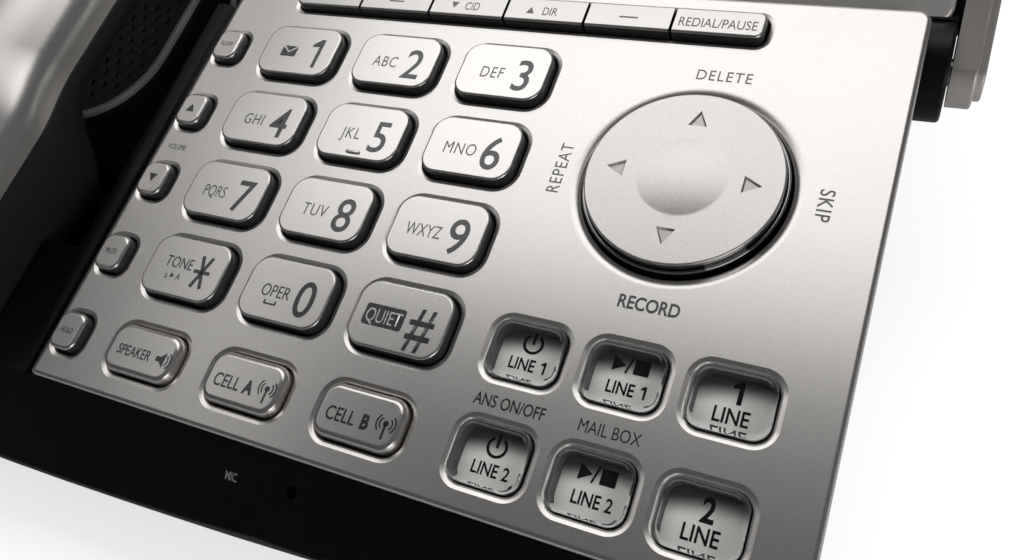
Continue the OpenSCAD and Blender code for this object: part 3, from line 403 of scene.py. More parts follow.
# The label film carries a painted shadow: its upper end darkens to grey 0.06.
LABEL = label_film_with_painted_shadow("label_film_with_painted_shadow", 0.88, 0.06)
LABEL_INK = printed("label_black_ink", 0.004, 0.7, 0.1)
INK = printed("black_ink", 0.016, 0.26, 1.0)
LETTER_INK = printed("grey_letter_ink", 0.07, 0.26, 1.0)
PALE_INK = printed("grey_ink", 0.3, 0.5)
CRYSTAL = crystal_face()
RUBBER = moulded("foot_rubber", 0.03, 0.7, 900, 0.2)
BOARD = circuit_board()


# Shaping

def rounded_face(w, h, corner, at, z, steps=8):
    """A flat face with rounded corners about a middle."""
    bm = bmesh.new()
    ends = [bm.verts.new((at[0] + x * w / 2, at[1] + y * h / 2, z)) for x, y in ((-1, -1), (1, -1), (1, 1), (-1, 1))]
    bm.faces.new(ends)
    if corner:
        bmesh.ops.bevel(bm, geom=ends, offset=corner, offset_type="OFFSET", segments=steps, profile=0.5,
                        affect="VERTICES", material=-1)
    return bm


def shift_all(bm, shift):
    """Moves a whole shape."""
    bmesh.ops.translate(bm, vec=shift, verts=bm.verts[:])


def turn_all(bm, angle, axis):
    """Turns a whole shape about an axis through the origin."""
    bmesh.ops.rotate(bm, cent=(0, 0, 0), matrix=Matrix.Rotation(angle, 3, axis), verts=bm.verts[:])


def face_outwards(bm):
    """Points the faces of a closed shape outwards."""
    bmesh.ops.recalc_face_normals(bm, faces=bm.faces[:])


def quarter_turn(steps):
    """Angles from nothing to a right angle."""
    return [math.pi / 2 * k / steps for k in range(steps + 1)]


def pushed(bm, faces, shift, keep=False):
    """Extrudes faces by a shift and returns the moved faces. The faces they leave go unless they close the shape."""
    made = bmesh.ops.extrude_face_region(bm, geom=faces)["geom"]
    ends = [g for g in made if isinstance(g, bmesh.types.BMFace)]
    bmesh.ops.translate(bm, vec=shift, verts=[g for g in made if isinstance(g, bmesh.types.BMVert)])
    if not keep:
        bmesh.ops.delete(bm, geom=faces, context="FACES")
    return ends


def slab(w, h, corner, low, high, edge=0.0, at=(0, 0), steps=8, edge_steps=4):
    """A rounded slab from one height to another, its top edge rolled over."""
    bm = rounded_face(w, h, corner, at, low, steps)
    top = {v for f in pushed(bm, bm.faces[:], (0, 0, high - low), keep=True) for v in f.verts}
    if edge:
        rim = [e for e in bm.edges if e.verts[0] in top and e.verts[1] in top]
        bmesh.ops.bevel(bm, geom=rim, offset=edge, offset_type="OFFSET", segments=edge_steps, profile=0.5,
                        affect="EDGES", material=-1)
    face_outwards(bm)
    bm.normal_update()
    return bm


def turned(profile, at=(0, 0), steps=128):
    """A solid of revolution about an upright axis, from points of radius and height."""
    bm = bmesh.new()
    points = [bm.verts.new((r, 0, z)) for r, z in profile]
    lines = [bm.edges.new(pair) for pair in zip(points, points[1:])]
    bmesh.ops.spin(bm, geom=points + lines, cent=(0, 0, 0), axis=(0, 0, 1), dvec=(0, 0, 0), angle=2 * math.pi,
                   steps=steps, use_merge=True, use_duplicate=False)
    bmesh.ops.remove_doubles(bm, verts=bm.verts[:], dist=1e-4)
    face_outwards(bm)
    shift_all(bm, (at[0], at[1], 0))
    return bm


def block(low, high):
    """A box from corner to corner, for cutting."""
    bm = bmesh.new()
    middle, size = (Vector(low) + Vector(high)) / 2, Vector(high) - Vector(low)
    bmesh.ops.create_cube(bm, size=1, matrix=Matrix.Translation(middle) @ Matrix.Diagonal((*size, 1)))
    return bm


def rod(radius, start, end, steps=24):
    """A round bar between two points, for cutting."""
    bm = bmesh.new()
    along = Vector(end) - Vector(start)
    place = Matrix.Translation((Vector(start) + Vector(end)) / 2) @ along.to_track_quat("Z", "Y").to_matrix().to_4x4()
    bmesh.ops.create_cone(bm, cap_ends=True, segments=steps, radius1=radius, radius2=radius, depth=along.length,
                          matrix=place)
    return bm


def joined(shapes):
    """Several shapes as one mesh."""
    whole = bmesh.new()
    for shape in shapes:
        part = bpy.data.meshes.new("part")
        shape.to_mesh(part)
        shape.free()
        whole.from_mesh(part)
        bpy.data.meshes.remove(part)
    return whole


def carved(bm, cutters):
    """The shape with the cutters taken out of it."""
    holders = []
    for name, shape in (("stock", bm), ("cutter", joined(cutters))):
        mesh = bpy.data.meshes.new(name)
        shape.to_mesh(mesh)
        shape.free()
        holder = bpy.data.objects.new(name, mesh)
        bpy.context.scene.collection.objects.link(holder)
        holders.append(holder)
    stock, cutter = holders
    cut = stock.modifiers.new("cut", "BOOLEAN")
    cut.operation = "DIFFERENCE"
    cut.solver = "EXACT"
    cut.object = cutter
    graph = bpy.context.evaluated_depsgraph_get()
    result = bpy.data.meshes.new_from_object(stock.evaluated_get(graph))
    out = bmesh.new()
    out.from_mesh(result)
    bpy.data.meshes.remove(result)
    for holder in holders:
        mesh = holder.data
        bpy.data.objects.remove(holder)
        bpy.data.meshes.remove(mesh)
    return out


def copy_of(node, place):
    """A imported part's shape as one merged skin, in a frame."""
    bm = bmesh.new()
    bm.from_mesh(NODES[node].data)
    bmesh.ops.transform(bm, matrix=place.inverted(), verts=bm.verts[:])
    bmesh.ops.remove_doubles(bm, verts=bm.verts[:], dist=1e-3)
    bmesh.ops.dissolve_limit(bm, angle_limit=math.radians(0.5), verts=bm.verts[:], edges=bm.edges[:])
    return bm


def softened(bm, width, chosen):
    """The shape with those of its sharp outer edges rolled over that are chosen by their middle."""
    sharp_from, steps = math.radians(35), 3
    bm.normal_update()
    sharp = [e for e in bm.edges if len(e.link_faces) == 2 and e.calc_face_angle_signed() > sharp_from
             and chosen((e.verts[0].co + e.verts[1].co) / 2)]
    bmesh.ops.bevel(bm, geom=sharp, offset=width, offset_type="OFFSET", segments=steps, profile=0.5, affect="EDGES",
                    clamp_overlap=False, material=-1)
    return bm


def piece(bm, name, finishes, body, place=PANEL, stands_for=(), crease=32):
    """Makes a shape a piece of the telephone that rides on a body."""
    bmesh.ops.transform(bm, matrix=place, verts=bm.verts[:])
    mesh = bpy.data.meshes.new(name)
    bm.to_mesh(mesh)
    bm.free()
    for finish in finishes:
        mesh.materials.append(finish.material)
    for face in mesh.polygons:
        face.use_smooth = True
    mesh.set_sharp_from_angle(angle=math.radians(crease))
    made = bpy.data.objects.new(name, mesh)
    bpy.context.scene.collection.objects.link(made)
    even = made.modifiers.new("even_normals", "WEIGHTED_NORMAL")
    even.keep_sharp = True
    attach(made, body)
    if stands_for:
        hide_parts(*stands_for)
    return made


def dress(finish, *nodes):
    """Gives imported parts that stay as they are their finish."""
    for node in nodes:
        NODES[node].data.materials.clear()
        NODES[node].data.materials.append(finish.material)


# Print

def word(text, height, at, turn=0.0, narrow=0.7, weight=0.0, spread=1.0):
    """A line of print, given by its capital height, about a middle."""
    curve = bpy.data.curves.new("word", "FONT")
    curve.body = text
    curve.size = height / CAPITAL
    curve.align_x = "CENTER"
    curve.space_character = spread
    curve.offset = weight
    curve.resolution_u = 5
    holder = bpy.data.objects.new("word", curve)
    bpy.context.scene.collection.objects.link(holder)
    graph = bpy.context.evaluated_depsgraph_get()
    mesh = bpy.data.meshes.new_from_object(holder.evaluated_get(graph))
    bm = bmesh.new()
    bm.from_mesh(mesh)
    bpy.data.objects.remove(holder)
    bpy.data.curves.remove(curve)
    bpy.data.meshes.remove(mesh)
    bmesh.ops.scale(bm, vec=(narrow, 1, 1), verts=bm.verts[:])
    shift_all(bm, (0, -height / 2, 0))
    turn_all(bm, math.radians(turn), "Z")
    shift_all(bm, (at[0], at[1], 0))
    return bm


def bar(start, end, width):
    """A straight stroke of print."""
    bm = bmesh.new()
    along = Vector((end[0] - start[0], end[1] - start[1], 0))
    across = Vector((-along.y, along.x, 0)).normalized() * width / 2
    first = Vector((start[0], start[1], 0))
    last = first + along
    bm.faces.new([bm.verts.new(p) for p in (first - across, last - across, last + across, first + across)])
    return bm


def patch(*points):
    """A filled outline of print, anticlockwise."""
    bm = bmesh.new()
    bm.faces.new([bm.verts.new((x, y, 0)) for x, y in points])
    return bm


def bow(at, radius, width, start, end, steps=24):
    """A round stroke of print between two angles."""
    bm = bmesh.new()
    a = math.radians(start)
    ends = [bm.verts.new((at[0] + r * math.cos(a), at[1] + r * math.sin(a), 0))
            for r in (radius - width / 2, radius + width / 2)]
    line = bm.edges.new(ends)
    bmesh.ops.spin(bm, geom=ends + [line], cent=(at[0], at[1], 0), axis=(0, 0, 1), dvec=(0, 0, 0),
                   angle=math.radians(end - start), steps=steps, use_merge=False, use_duplicate=False)
    face_outwards(bm)
    return bm


def figure_one(height, at, stroke):
    """The figure one with a flag, about a middle."""
    half, reach = height / 2, 0.24 * height
    left, right = at[0] + reach / 2 - stroke / 2, at[0] + reach / 2 + stroke / 2
    foot, top, flag = at[1] - half, at[1] + half, at[1] + 0.62 * half
    return [patch((left, foot), (right, foot), (right, top), (left, top)),
            patch((left - reach, flag - 0.8 * stroke), (left, flag - 0.6 * stroke), (left, top), (left - reach, flag))]


def disc(at, radius, steps=24):
    """A round dot of print."""
    bm = bmesh.new()
    bmesh.ops.create_circle(bm, cap_ends=True, segments=steps, radius=radius,
                            matrix=Matrix.Translation((at[0], at[1], 0)))
    return bm


def plaque(w, h, corner, at):
    """A filled oblong of print with rounded corners."""
    return slab(w, h, corner, -PRINT_T, 0, at=at)


def stamp(marks, name, body, height, finish=INK, place=PANEL, at=(0, 0)):
    """Lays marks of print on a surface at a height."""
    bm = joined(marks)
    shift_all(bm, (at[0], at[1], height + PRINT_LIFT))
    for face in bm.faces:
        face.normal_update()
        if face.normal.z < 0:
            face.normal_flip()
    return piece(bm, name, [finish], body, place)


# Silver panel

def rim_cutter(at, w, h, corner, rim_w=RIM_W, shelf=RIM_SHELF, face=0.0, through=FASCIA_T, steps=8):
    """A hole in a face with a shallow leaning shelf round it that rolls down into the hole."""
    over, lean, steep, corner_steps = 1.0, math.radians(15), math.radians(80), 10
    bm = rounded_face(w + 2 * rim_w, h + 2 * rim_w, corner + rim_w, at, face + over, corner_steps)
    sole = pushed(bm, bm.faces[:], (0, 0, -over), keep=True)
    turns = [lean + (steep - lean) * k / steps for k in range(steps + 1)]
    roll = (rim_w - shelf) / (math.sin(steep) - math.sin(lean))
    rings = [(shelf, shelf * math.tan(lean))]
    rings += [(roll * (math.sin(b) - math.sin(a)), roll * (math.cos(a) - math.cos(b)))
              for a, b in zip(turns, turns[1:])]
    for inset, drop in rings:
        bmesh.ops.inset_region(bm, faces=sole, thickness=inset, use_even_offset=True)
        bmesh.ops.translate(bm, vec=(0, 0, -drop), verts=sole[0].verts[:])
    pushed(bm, sole, (0, 0, -through - over))
    face_outwards(bm)
    return bm


def left_roll_cutter():
    """Takes the panel's left edge down in a quarter round towards the cradle."""
    over, steps = 1, 12
    turns = [math.radians(90 + 90 * k / steps) for k in range(steps + 1)]
    arc = [(FASCIA_ROLL + FASCIA_ROLL * math.cos(a), 0, FASCIA_ROLL * (math.sin(a) - 1)) for a in turns]
    outside = [(-over, 0, -FASCIA_ROLL), (-over, 0, over), (FASCIA_ROLL, 0, over)]
    bm = bmesh.new()
    bm.faces.new([bm.verts.new(p) for p in arc + outside])
    shift_all(bm, (0, -over, 0))
    pushed(bm, bm.faces[:], (0, FASCIA_H + 2 * over, 0), keep=True)
    face_outwards(bm)
    return bm


def make_fascia():
    """Silver panel with a rolled left edge and a rimmed hole for every key and the pad."""
    plate = slab(FASCIA_W, FASCIA_H, FASCIA_CORNER, -FASCIA_T, 0, FASCIA_BEVEL, (FASCIA_W / 2, FASCIA_H / 2), 8, 8)
    plate = carved(plate, [left_roll_cutter()])
    cutters = []
    for node, (u, v, w, h, _) in PLANS.items():
        if KINDS[node] != "soft":
            cutters.append(rim_cutter((u, v), w + 2 * KEY_GAP, h + 2 * KEY_GAP, CORNERS[KINDS[node]] + KEY_GAP))
    row_u, row_w = soft_row()
    _, row_v, _, row_h, _ = PLANS["soft_key_1"]
    cutters.append(rim_cutter((row_u, row_v), row_w + 2 * KEY_GAP, row_h + 2 * KEY_GAP, CORNERS["soft"] + KEY_GAP))
    hole_r, rim_w, rim_depth, over, shelf_crease = 14.7, 1.7, 0.9, 1, 12
    roll = [(hole_r + rim_w * (1 - math.sin(a)), rim_depth * (math.cos(a) - 1)) for a in quarter_turn(10)]
    profile = [(0, over), (hole_r + rim_w, over)] + roll + [(hole_r, -FASCIA_T - over), (0, -FASCIA_T - over)]
    cutters.append(turned(profile, (PAD_U, PAD_V)))
    piece(carved(plate, cutters), "fascia_plate", [SILVER], "base", stands_for=["fascia_panel"],
          crease=shelf_crease)


# Keys

def soft_row():
    """Middle and width of the row of soft keys."""
    first, last = PLANS["soft_key_1"], PLANS["soft_key_6"]
    return (first[0] + last[0]) / 2, last[0] - first[0] + first[2]


def soft_key_block(u, v, w, h, top):
    """A length of the soft key row, cut square from its neighbours."""
    row_u, row_w = soft_row()
    bm = slab(row_w, h, CORNERS["soft"], KEY_FOOT, top, KEY_EDGE["soft"], (row_u, v), 8, 5)
    for side in (-1, 1):
        end = u + side * w / 2
        if abs(end - row_u) < row_w / 2 - w / 2:
            cut = bmesh.ops.bisect_plane(bm, geom=bm.verts[:] + bm.edges[:] + bm.faces[:], plane_co=(end, 0, 0),
                                         plane_no=(side, 0, 0), clear_outer=True)["geom_cut"]
            bmesh.ops.edgeloop_fill(bm, edges=[g for g in cut if isinstance(g, bmesh.types.BMEdge)])
    face_outwards(bm)
    return bm


def silver_key(node):
    """A painted cap with a dark skirt: a near-black painted shade on the faces that turn away from the panel's face.
    """
    u, v, w, h, top = PLANS[node]
    kind = KINDS[node]
    if kind == "soft":
        bm = soft_key_block(u, v, w, h, top)
    else:
        bm = slab(w, h, CORNERS[kind], KEY_FOOT, top, KEY_EDGE[kind], (u, v), 8, 6)
    bm.normal_update()
    for face in bm.faces:
        # Painted shade: faces turned away from the panel's face take the near-black finish.
        if face.normal.z < SIDE_SHADE_FROM[kind]:
            face.material_index = 1
    paint = SOFT_SILVER if kind == "soft" else KEY_SILVER
    piece(bm, node + "_cap", [paint, KEY_SIDE_SHADE], node, stands_for=[node])


def clear_key(node):
    """A clear lens over a pale label that lies in a tray whose near-black tone is painted shade of the well."""
    lens_edge, sheet_t, bed, air = 0.9, 0.4, 0.3, 0.04
    u, v, w, h, top = PLANS[node]
    corner = CORNERS["clear"]
    well_w, well_h, well_corner = w - 2 * TRAY_WALL, h - 2 * TRAY_WALL, corner - TRAY_WALL / 2
    lens = slab(w + 2 * LENS_OVER, h + 2 * LENS_OVER, corner + LENS_OVER, LENS_FOOT, top, lens_edge, (u, v), 8, 6)
    piece(lens, node + "_lens", [CLEAR], node, stands_for=[node])
    # The tray takes a near-black painted shade of the well.
    tray = slab(w, h, corner, KEY_FOOT, LENS_FOOT - air, 0, (u, v))
    tray = carved(tray, [slab(well_w, well_h, well_corner, LABEL_TOP - bed, 1, 0, (u, v))])
    piece(tray, node + "_tray", [WELL_SHADE_TRAY], node)
    label = slab(well_w, well_h, well_corner, LABEL_TOP - sheet_t, LABEL_TOP, 0.1, (u, v))
    # UVs that place the label's painted shadow.
    sheet = label.loops.layers.uv.new("label_sheet")
    for corner_point in [loop for face in label.faces for loop in face.loops]:
        spot = corner_point.vert.co
        corner_point[sheet].uv = (spot.x - u) / well_w + 0.5, (spot.y - v) / well_h + 0.5
    piece(label, node + "_label", [LABEL], node)


def make_keys():
    """Every key that is pressed."""
    for node, kind in KINDS.items():
        if kind == "clear":
            clear_key(node)
        else:
            silver_key(node)


# Four-way pad

def arrow_cutter(turn, top):
    """A wedge that sinks one of the pad's arrows, its walls flared to its mouth."""
    tip, base, half, depth, above, flare = 10.45, 8.53, 1.0, 0.35, 1.0, 2.35
    wedge = bmesh.new()
    wedge.faces.new([wedge.verts.new(p) for p in ((tip, 0, 0), (base, half, 0), (base, -half, 0))])
    mouth = pushed(wedge, wedge.faces[:], (0, 0, depth + above), keep=True)[0]
    bmesh.ops.scale(wedge, vec=(flare, flare, 1), verts=mouth.verts[:],
                    space=Matrix.Translation(-mouth.calc_center_median()))
    shift_all(wedge, (0, 0, top - depth))
    face_outwards(wedge)
    turn_all(wedge, turn, "Z")
    return wedge


def make_pad():
    """Silver disc with a low dome and four sunk arrows whose floors carry a darker painted shade, in its bright ring.
    """
    rise, radius, edge, foot = 2.0, 13.8, 0.3, -1.2
    dome_r, dome_h, dome_steps = 6.5, 0.42, 16
    upright, level, near = 0.3, 0.9, 0.1
    roll = [(radius - edge * (1 - math.cos(a)), rise - edge * (1 - math.sin(a))) for a in quarter_turn(5)]
    shares = [1 - k / dome_steps for k in range(dome_steps + 1)]
    dome = [(dome_r * share, rise + dome_h * (1 - share ** 2)) for share in shares]
    disc_shape = turned([(0, foot), (radius, foot)] + roll + dome)
    bm = carved(disc_shape, [arrow_cutter(turn * math.pi / 2, rise) for turn in range(4)])
    for face in bm.faces:
        middle = face.calc_center_median()
        if abs(face.normal.z) < upright and middle.xy.length > radius - near:
            face.material_index = 1
        # Painted shade: the floors of the sunk arrows take a darker silver.
        elif face.normal.z > level and 0 < middle.z < rise - edge:
            face.material_index = 2
    shift_all(bm, (PAD_U, PAD_V, 0))
    piece(bm, "pad_disc", [PAD_SILVER, RING_CHROME, ARROW_FLOOR_SHADE], "nav_pad", stands_for=["nav_disc"])
    outer, inner, top, lip, ledge, ring_foot = 14.3, 13.84, 0.6, 0.23, -1.1, -3.0
    lip_roll = [(outer - lip + lip * math.cos(2 * a), top - lip + lip * math.sin(2 * a)) for a in quarter_turn(8)]
    profile = [(outer, ring_foot)] + lip_roll + [(inner, ledge), (inner, ring_foot), (outer, ring_foot)]
    piece(turned(profile, (PAD_U, PAD_V)), "pad_ring", [RING_CHROME], "nav_pad", stands_for=["nav_ring"])


# Print on the keys and the panel

def star_mark():
    """A star of three strokes, the word for tone dialling, and a small letter that turns into a large one."""
    u, v, half_w, half_h, arm, stroke = 3.5, -0.2, 2.1, 3.1, 1.6, 0.62
    reaches = [(half_w * math.cos(a), half_h * math.sin(a)) for a in (math.radians(62), math.radians(118))]
    strokes = [bar((u + x, v + y), (u - x, v - y), stroke) for x, y in reaches + [(-arm, 0)]]
    return strokes + [word("TONE", 2.0, (-1.5, 0.65), narrow=0.76), word("a", 1.3, (-2.9, -1.75)),
                      word("A", 1.3, (-0.5, -1.75)), patch((-2.1, -2.2), (-1.3, -1.75), (-2.1, -1.3))]


def operator_mark():
    """The operator's word over a bracket."""
    left, right, foot, stroke = -2.9, -0.9, -2.5, 0.28
    ends = [bar((u, -1.9), (u, -2.6), stroke) for u in (left, right)]
    return [word("OPER", 2.1, (-1.7, -0.3), narrow=0.76), bar((left, foot), (right, foot), stroke)] + ends


def letter_mark(letters):
    """The small letters beside a figure."""
    if len(letters) < 4:
        return word(letters, 2.2, (-1.7, -0.45), narrow=0.76, weight=-0.012, spread=1.12)
    return word(letters, 2.2, (-2.0, -0.45), narrow=0.66, weight=-0.012)


def print_dial():
    """Figures, letters and signs on the dial keys."""
    letters = {"2": "ABC", "3": "DEF", "4": "GHI", "5": "JKL", "6": "MNO", "7": "PQRS", "8": "TUV", "9": "WXYZ"}
    over_ink = 0.02
    for name in DIAL_KEYS:
        node = "dial_key_" + name
        u, v, _, _, top = PLANS[node]
        if name == "star":
            marks = star_mark()
        elif name == "pound":
            badge = (-2.5, -0.3)
            marks = [word("#", 6.6, (3.7, -0.3), narrow=0.72, weight=0.1), plaque(6.6, 3.3, 0.45, badge)]
            stamp([word("QUIET", 2.2, badge, narrow=0.68)], "quiet_letters", node, top + over_ink, KEY_SILVER,
                  at=(u, v))
        elif name == "1":
            marks = figure_one(6.0, (3.6, -0.4), 0.7) + [plaque(3.2, 2.2, 0.2, (-1.9, -0.4))]
            fold, crease_w = (-1.9, -0.6), 0.26
            flap = [bar((-3.4, 0.6), fold, crease_w), bar((-0.4, 0.6), fold, crease_w)]
            stamp(flap, "envelope_flap", node, top + over_ink, KEY_SILVER, at=(u, v))
        else:
            marks = [word(name, 6.0, (3.75, -0.4), narrow=0.88, weight=0.06)]
            if name == "0":
                marks += operator_mark()
            if name in letters:
                stamp([letter_mark(letters[name])], "dial_letters_" + name, node, top, LETTER_INK, at=(u, v))
            if name == "5":
                rise, edge = 0.3, 0.2
                touch_bar = slab(2.6, 0.55, edge, top - rise, top + rise, edge, (u + 0.2, v - 4.0))
                piece(touch_bar, "five_bar", [KEY_SILVER], node)
        stamp(marks, node + "_print", node, top, at=(u, v))


def antenna(u, v):
    """A mast with a ball and waves on both sides."""
    ball, mast, stroke, wave, spread = 0.42, 2.2, 0.34, 0.22, 48
    marks = [disc((u, v), ball), bar((u, v), (u, v - mast), stroke)]
    for radius in (0.95, 1.45):
        marks += [bow((u, v), radius, wave, way - spread, way + spread) for way in (0, 180)]
    return marks


def horn():
    """A loudspeaker's horn with two waves."""
    wave, spread = 0.22, 50
    return [patch((3.3, -0.7), (4.1, -0.7), (4.1, 0.1), (3.3, 0.1)),
            patch((4.1, -0.7), (5.0, -1.5), (5.0, 0.9), (4.1, 0.1)),
            bow((4.6, -0.3), 1.0, wave, -spread, spread), bow((4.6, -0.3), 1.55, wave, -spread, spread)]


def print_functions():
    """Words and signs on the bottom row of keys."""
    u, v, _, _, top = PLANS["speaker_key"]
    marks = [word("SPEAKER", 1.7, (-1.2, -0.3), narrow=0.74, weight=0.02)] + horn()
    stamp(marks, "speaker_key_print", "speaker_key", top, at=(u, v))
    for node, letter in (("cell_key_a", "A"), ("cell_key_b", "B")):
        u, v, _, _, top = PLANS[node]
        marks = [word("CELL", 2.05, (-2.6, -0.5), narrow=0.78, weight=0.03),
                 word(letter, 2.05, (1.35, -0.5), narrow=0.78, weight=0.12)]
        stamp(marks + antenna(4.5, 0.0), node + "_print", node, top, at=(u, v))


def print_soft_keys():
    """Words, arrows and dashes on the top row of keys."""
    beside, below, dash, stroke = (0.8, 0.05), 0.3, 1.5, 0.28
    up = patch((-3.3, -0.6), (-1.9, -0.6), (-2.6, 0.7))
    down = patch((-3.3, 0.7), (-2.6, -0.6), (-1.9, 0.7))
    words = {3: [down, word("CID", 1.7, beside)], 4: [up, word("DIR", 1.7, beside)],
             6: [word("REDIAL/PAUSE", 1.75, (-0.2, 0), narrow=0.78)]}
    for number, node in enumerate(SOFT_KEYS, 1):
        marks = words.get(number) or [bar((-dash, 0), (dash, 0), stroke)]
        u, v, _, _, top = PLANS[node]
        stamp(marks, node + "_print", node, top, LETTER_INK, at=(u, v - below))


def print_side_keys():
    """Words and arrows on the small keys at the left."""
    marks = {"volume_up_key": [patch((-0.9, -0.7), (0.9, -0.7), (0, 0.9))],
             "volume_down_key": [patch((-0.9, 0.7), (0, -0.9), (0.9, 0.7))],
             **{name + "_key": [word(name.upper(), 1.0, (0, 0))] for name in ("flash", "mute", "hold")}}
    for node, made in marks.items():
        u, v, _, _, top = PLANS[node]
        stamp(made, node + "_print", node, top, at=(u, v))


def label_place(u, v):
    """Where print lies on a sunk label so that the camera sees it in the middle of its key."""
    eye = PANEL.inverted() @ bpy.context.scene.camera.matrix_world.translation
    share = SEEN_DEPTH * LABEL_TOP / eye.z
    return u + (eye.x - u) * share, v + (eye.y - v) * share


def line_name(line):
    """The word LINE and the line's number, under a mark on a label."""
    height, v = 1.8, -1.75
    if line == "1":
        number = figure_one(height, (2.55, v), 0.3)
    else:
        number = [word(line, height, (2.5, v), narrow=0.8, weight=0.05)]
    return [word("LINE", height, (-0.55, v), narrow=0.78, weight=0.05)] + number


def answer_mark():
    """An open ring with a stroke through its gap."""
    u, v, radius, stroke = 0.15, 1.3, 1.3, 0.42
    return [bow((u, v), radius, stroke, 122, 418, 40), bar((u, 1.2), (u, 3.2), stroke)]


def play_mark():
    """A triangle and a square with a stroke between them."""
    return [patch((-2.4, 0.3), (-0.55, 1.4), (-2.4, 2.5)), bar((-0.5, 0.3), (0.15, 2.6), 0.3),
            patch((0.5, 0.4), (2.6, 0.4), (2.6, 2.5), (0.5, 2.5))]


def print_clear_keys():
    """Signs and line numbers on the labels under the clear keys."""
    right, up = 0.5, 0.1
    for node in CLEAR_KEYS:
        u, v = PLANS[node][:2]
        line = node[-1]
        if node.startswith("answer"):
            marks = answer_mark() + line_name(line)
        elif node.startswith("play"):
            marks = play_mark() + line_name(line)
        else:
            marks = [word("LINE", 2.1, (-0.2, -1.9), narrow=0.8, weight=0.05)]
            if line == "1":
                marks = figure_one(3.1, (0.0, 1.2), 0.62) + marks
            else:
                marks = [word(line, 3.1, (0.1, 1.2), narrow=0.8, weight=0.12)] + marks
        stamp(marks, node + "_print", node, LABEL_TOP, LABEL_INK, at=label_place(u + right, v + up))


def print_panel():
    """Words round the pad, between the keys and on the lip."""
    between_v = (PLANS["answer_key_1"][1] + PLANS["answer_key_2"][1]) / 2 - 0.2
    volume_u, volume_up_v = PLANS["volume_up_key"][:2]
    grey_marks = [word("DELETE", 1.9, (PAD_U + 1.1, PAD_V + 18.7), narrow=0.86, spread=1.15),
                  word("REPEAT", 2.0, (PAD_U - 18.5, PAD_V - 0.4), 90, 0.86, spread=1.12),
                  word("VOLUME", 1.1, (volume_u, (volume_up_v + PLANS["volume_down_key"][1]) / 2))]
    marks = [word("RECORD", 1.95, (PAD_U + 0.4, PAD_V - 19.0), narrow=0.8, weight=0.06),
             word("SKIP", 2.0, (PAD_U + 19.0, PAD_V - 0.3), -90, 0.88, weight=0.02, spread=1.12),
             word("ANS ON/OFF", 1.75, (PLANS["answer_key_1"][0] + 0.3, between_v), narrow=0.73, weight=0.03),
             word("MAIL BOX", 1.75, (PLANS["play_key_1"][0] + 0.35, between_v), narrow=0.76)]
    stamp(marks, "panel_print", "base", 0)
    stamp(grey_marks, "panel_grey_print", "base", 0, LETTER_INK)
    mic_u, mic_v, clear = 43.6, -4.6, 0.03
    mic_z = -LIP_STEP + (mic_v + SEAT_GAP) * math.tan(LIP_SLOPE)
    lip = PANEL @ Matrix.Translation((mic_u, mic_v, mic_z)) @ Matrix.Rotation(LIP_SLOPE, 4, "X")
    stamp([word("MIC", 1.3, (0, 0), weight=0.03)], "microphone_print", "base", clear, PALE_INK, lip)


# Case, display and what is inside

def on_case_rim(p):
    """True on the long outer edges of the upper case: its lip, its sides, its back and the cradle's edges."""
    lip_top, mic_room, cradle_right, split_room, lowest = -2, 2, -12, 1.5, -9.5
    lip = p.y < lip_top and abs(p.x - MIC_U) > mic_room
    cradle = p.x < cradle_right and abs(p.y) > split_room
    return p.z > lowest and (lip or cradle)


def on_boss_end(p):
    """True on the round outer edge of the two hinge bosses."""
    past_panel, cradle_right, near = 3.4, -12, 0.3
    at_end = p.x < -past_panel or p.x > FASCIA_W + past_panel
    return at_end and cradle_right < p.x and abs(math.hypot(p.y - HINGE_V, p.z - HINGE_Z) - BOSS_R) < near


def make_case():
    """Upper case with rolled edges, the tub under it, and what is fixed to them."""
    rim_roll, boss_roll, tub_roll, tub_border = 0.7, 0.6, 1.5, 4
    upper = softened(copy_of("upper_case", PANEL), rim_roll, on_case_rim)
    upper = softened(upper, boss_roll, on_boss_end)
    piece(upper, "upper_case_skin", [CASE_BLACK], "base", stands_for=["upper_case"])
    low, high = span("lower_case", MM)
    tub = softened(copy_of("lower_case", MM), tub_roll, lambda p: p.z < low.z + 0.1 and (
        min(p.x - low.x, high.x - p.x, p.y - low.y, high.y - p.y) < tub_border))
    piece(tub, "lower_case_skin", [CASE_BLACK], "base", MM, ["lower_case"])
    make_feet()
    make_hook()
    make_grille_rim()
    make_contacts()
    dress(GRILLE_BLACK, "speaker_grille")
    dress(RUBBER, "keypad_mat")
    dress(SOCKET_DARK, "modular_jacks", "power_inlet", "handset_jack", "nav_rocker")
    dress(STEEL, "case_screws", "hinge_pins", "speaker", "base_microphone", "ear_receiver", "mouth_microphone")
    dress(BOARD, "key_board", "main_board")


def make_feet():
    """Round rubber feet, chamfered and dished."""
    low, high = span("rubber_feet", MM)
    radius, chamfer, dish, dish_rim, dish_r = 7.0, 0.6, 0.5, 2.4, 1.6
    profile = [(0, high.z), (radius, high.z), (radius, chamfer), (radius - chamfer, 0), (dish_rim, 0),
               (dish_r, dish), (0, dish)]
    feet = [turned(profile, (x, y), 64) for x in (low.x + radius, high.x - radius)
            for y in (low.y + radius, high.y - radius)]
    piece(joined(feet), "feet", [RUBBER], "base", MM, ["rubber_feet"])


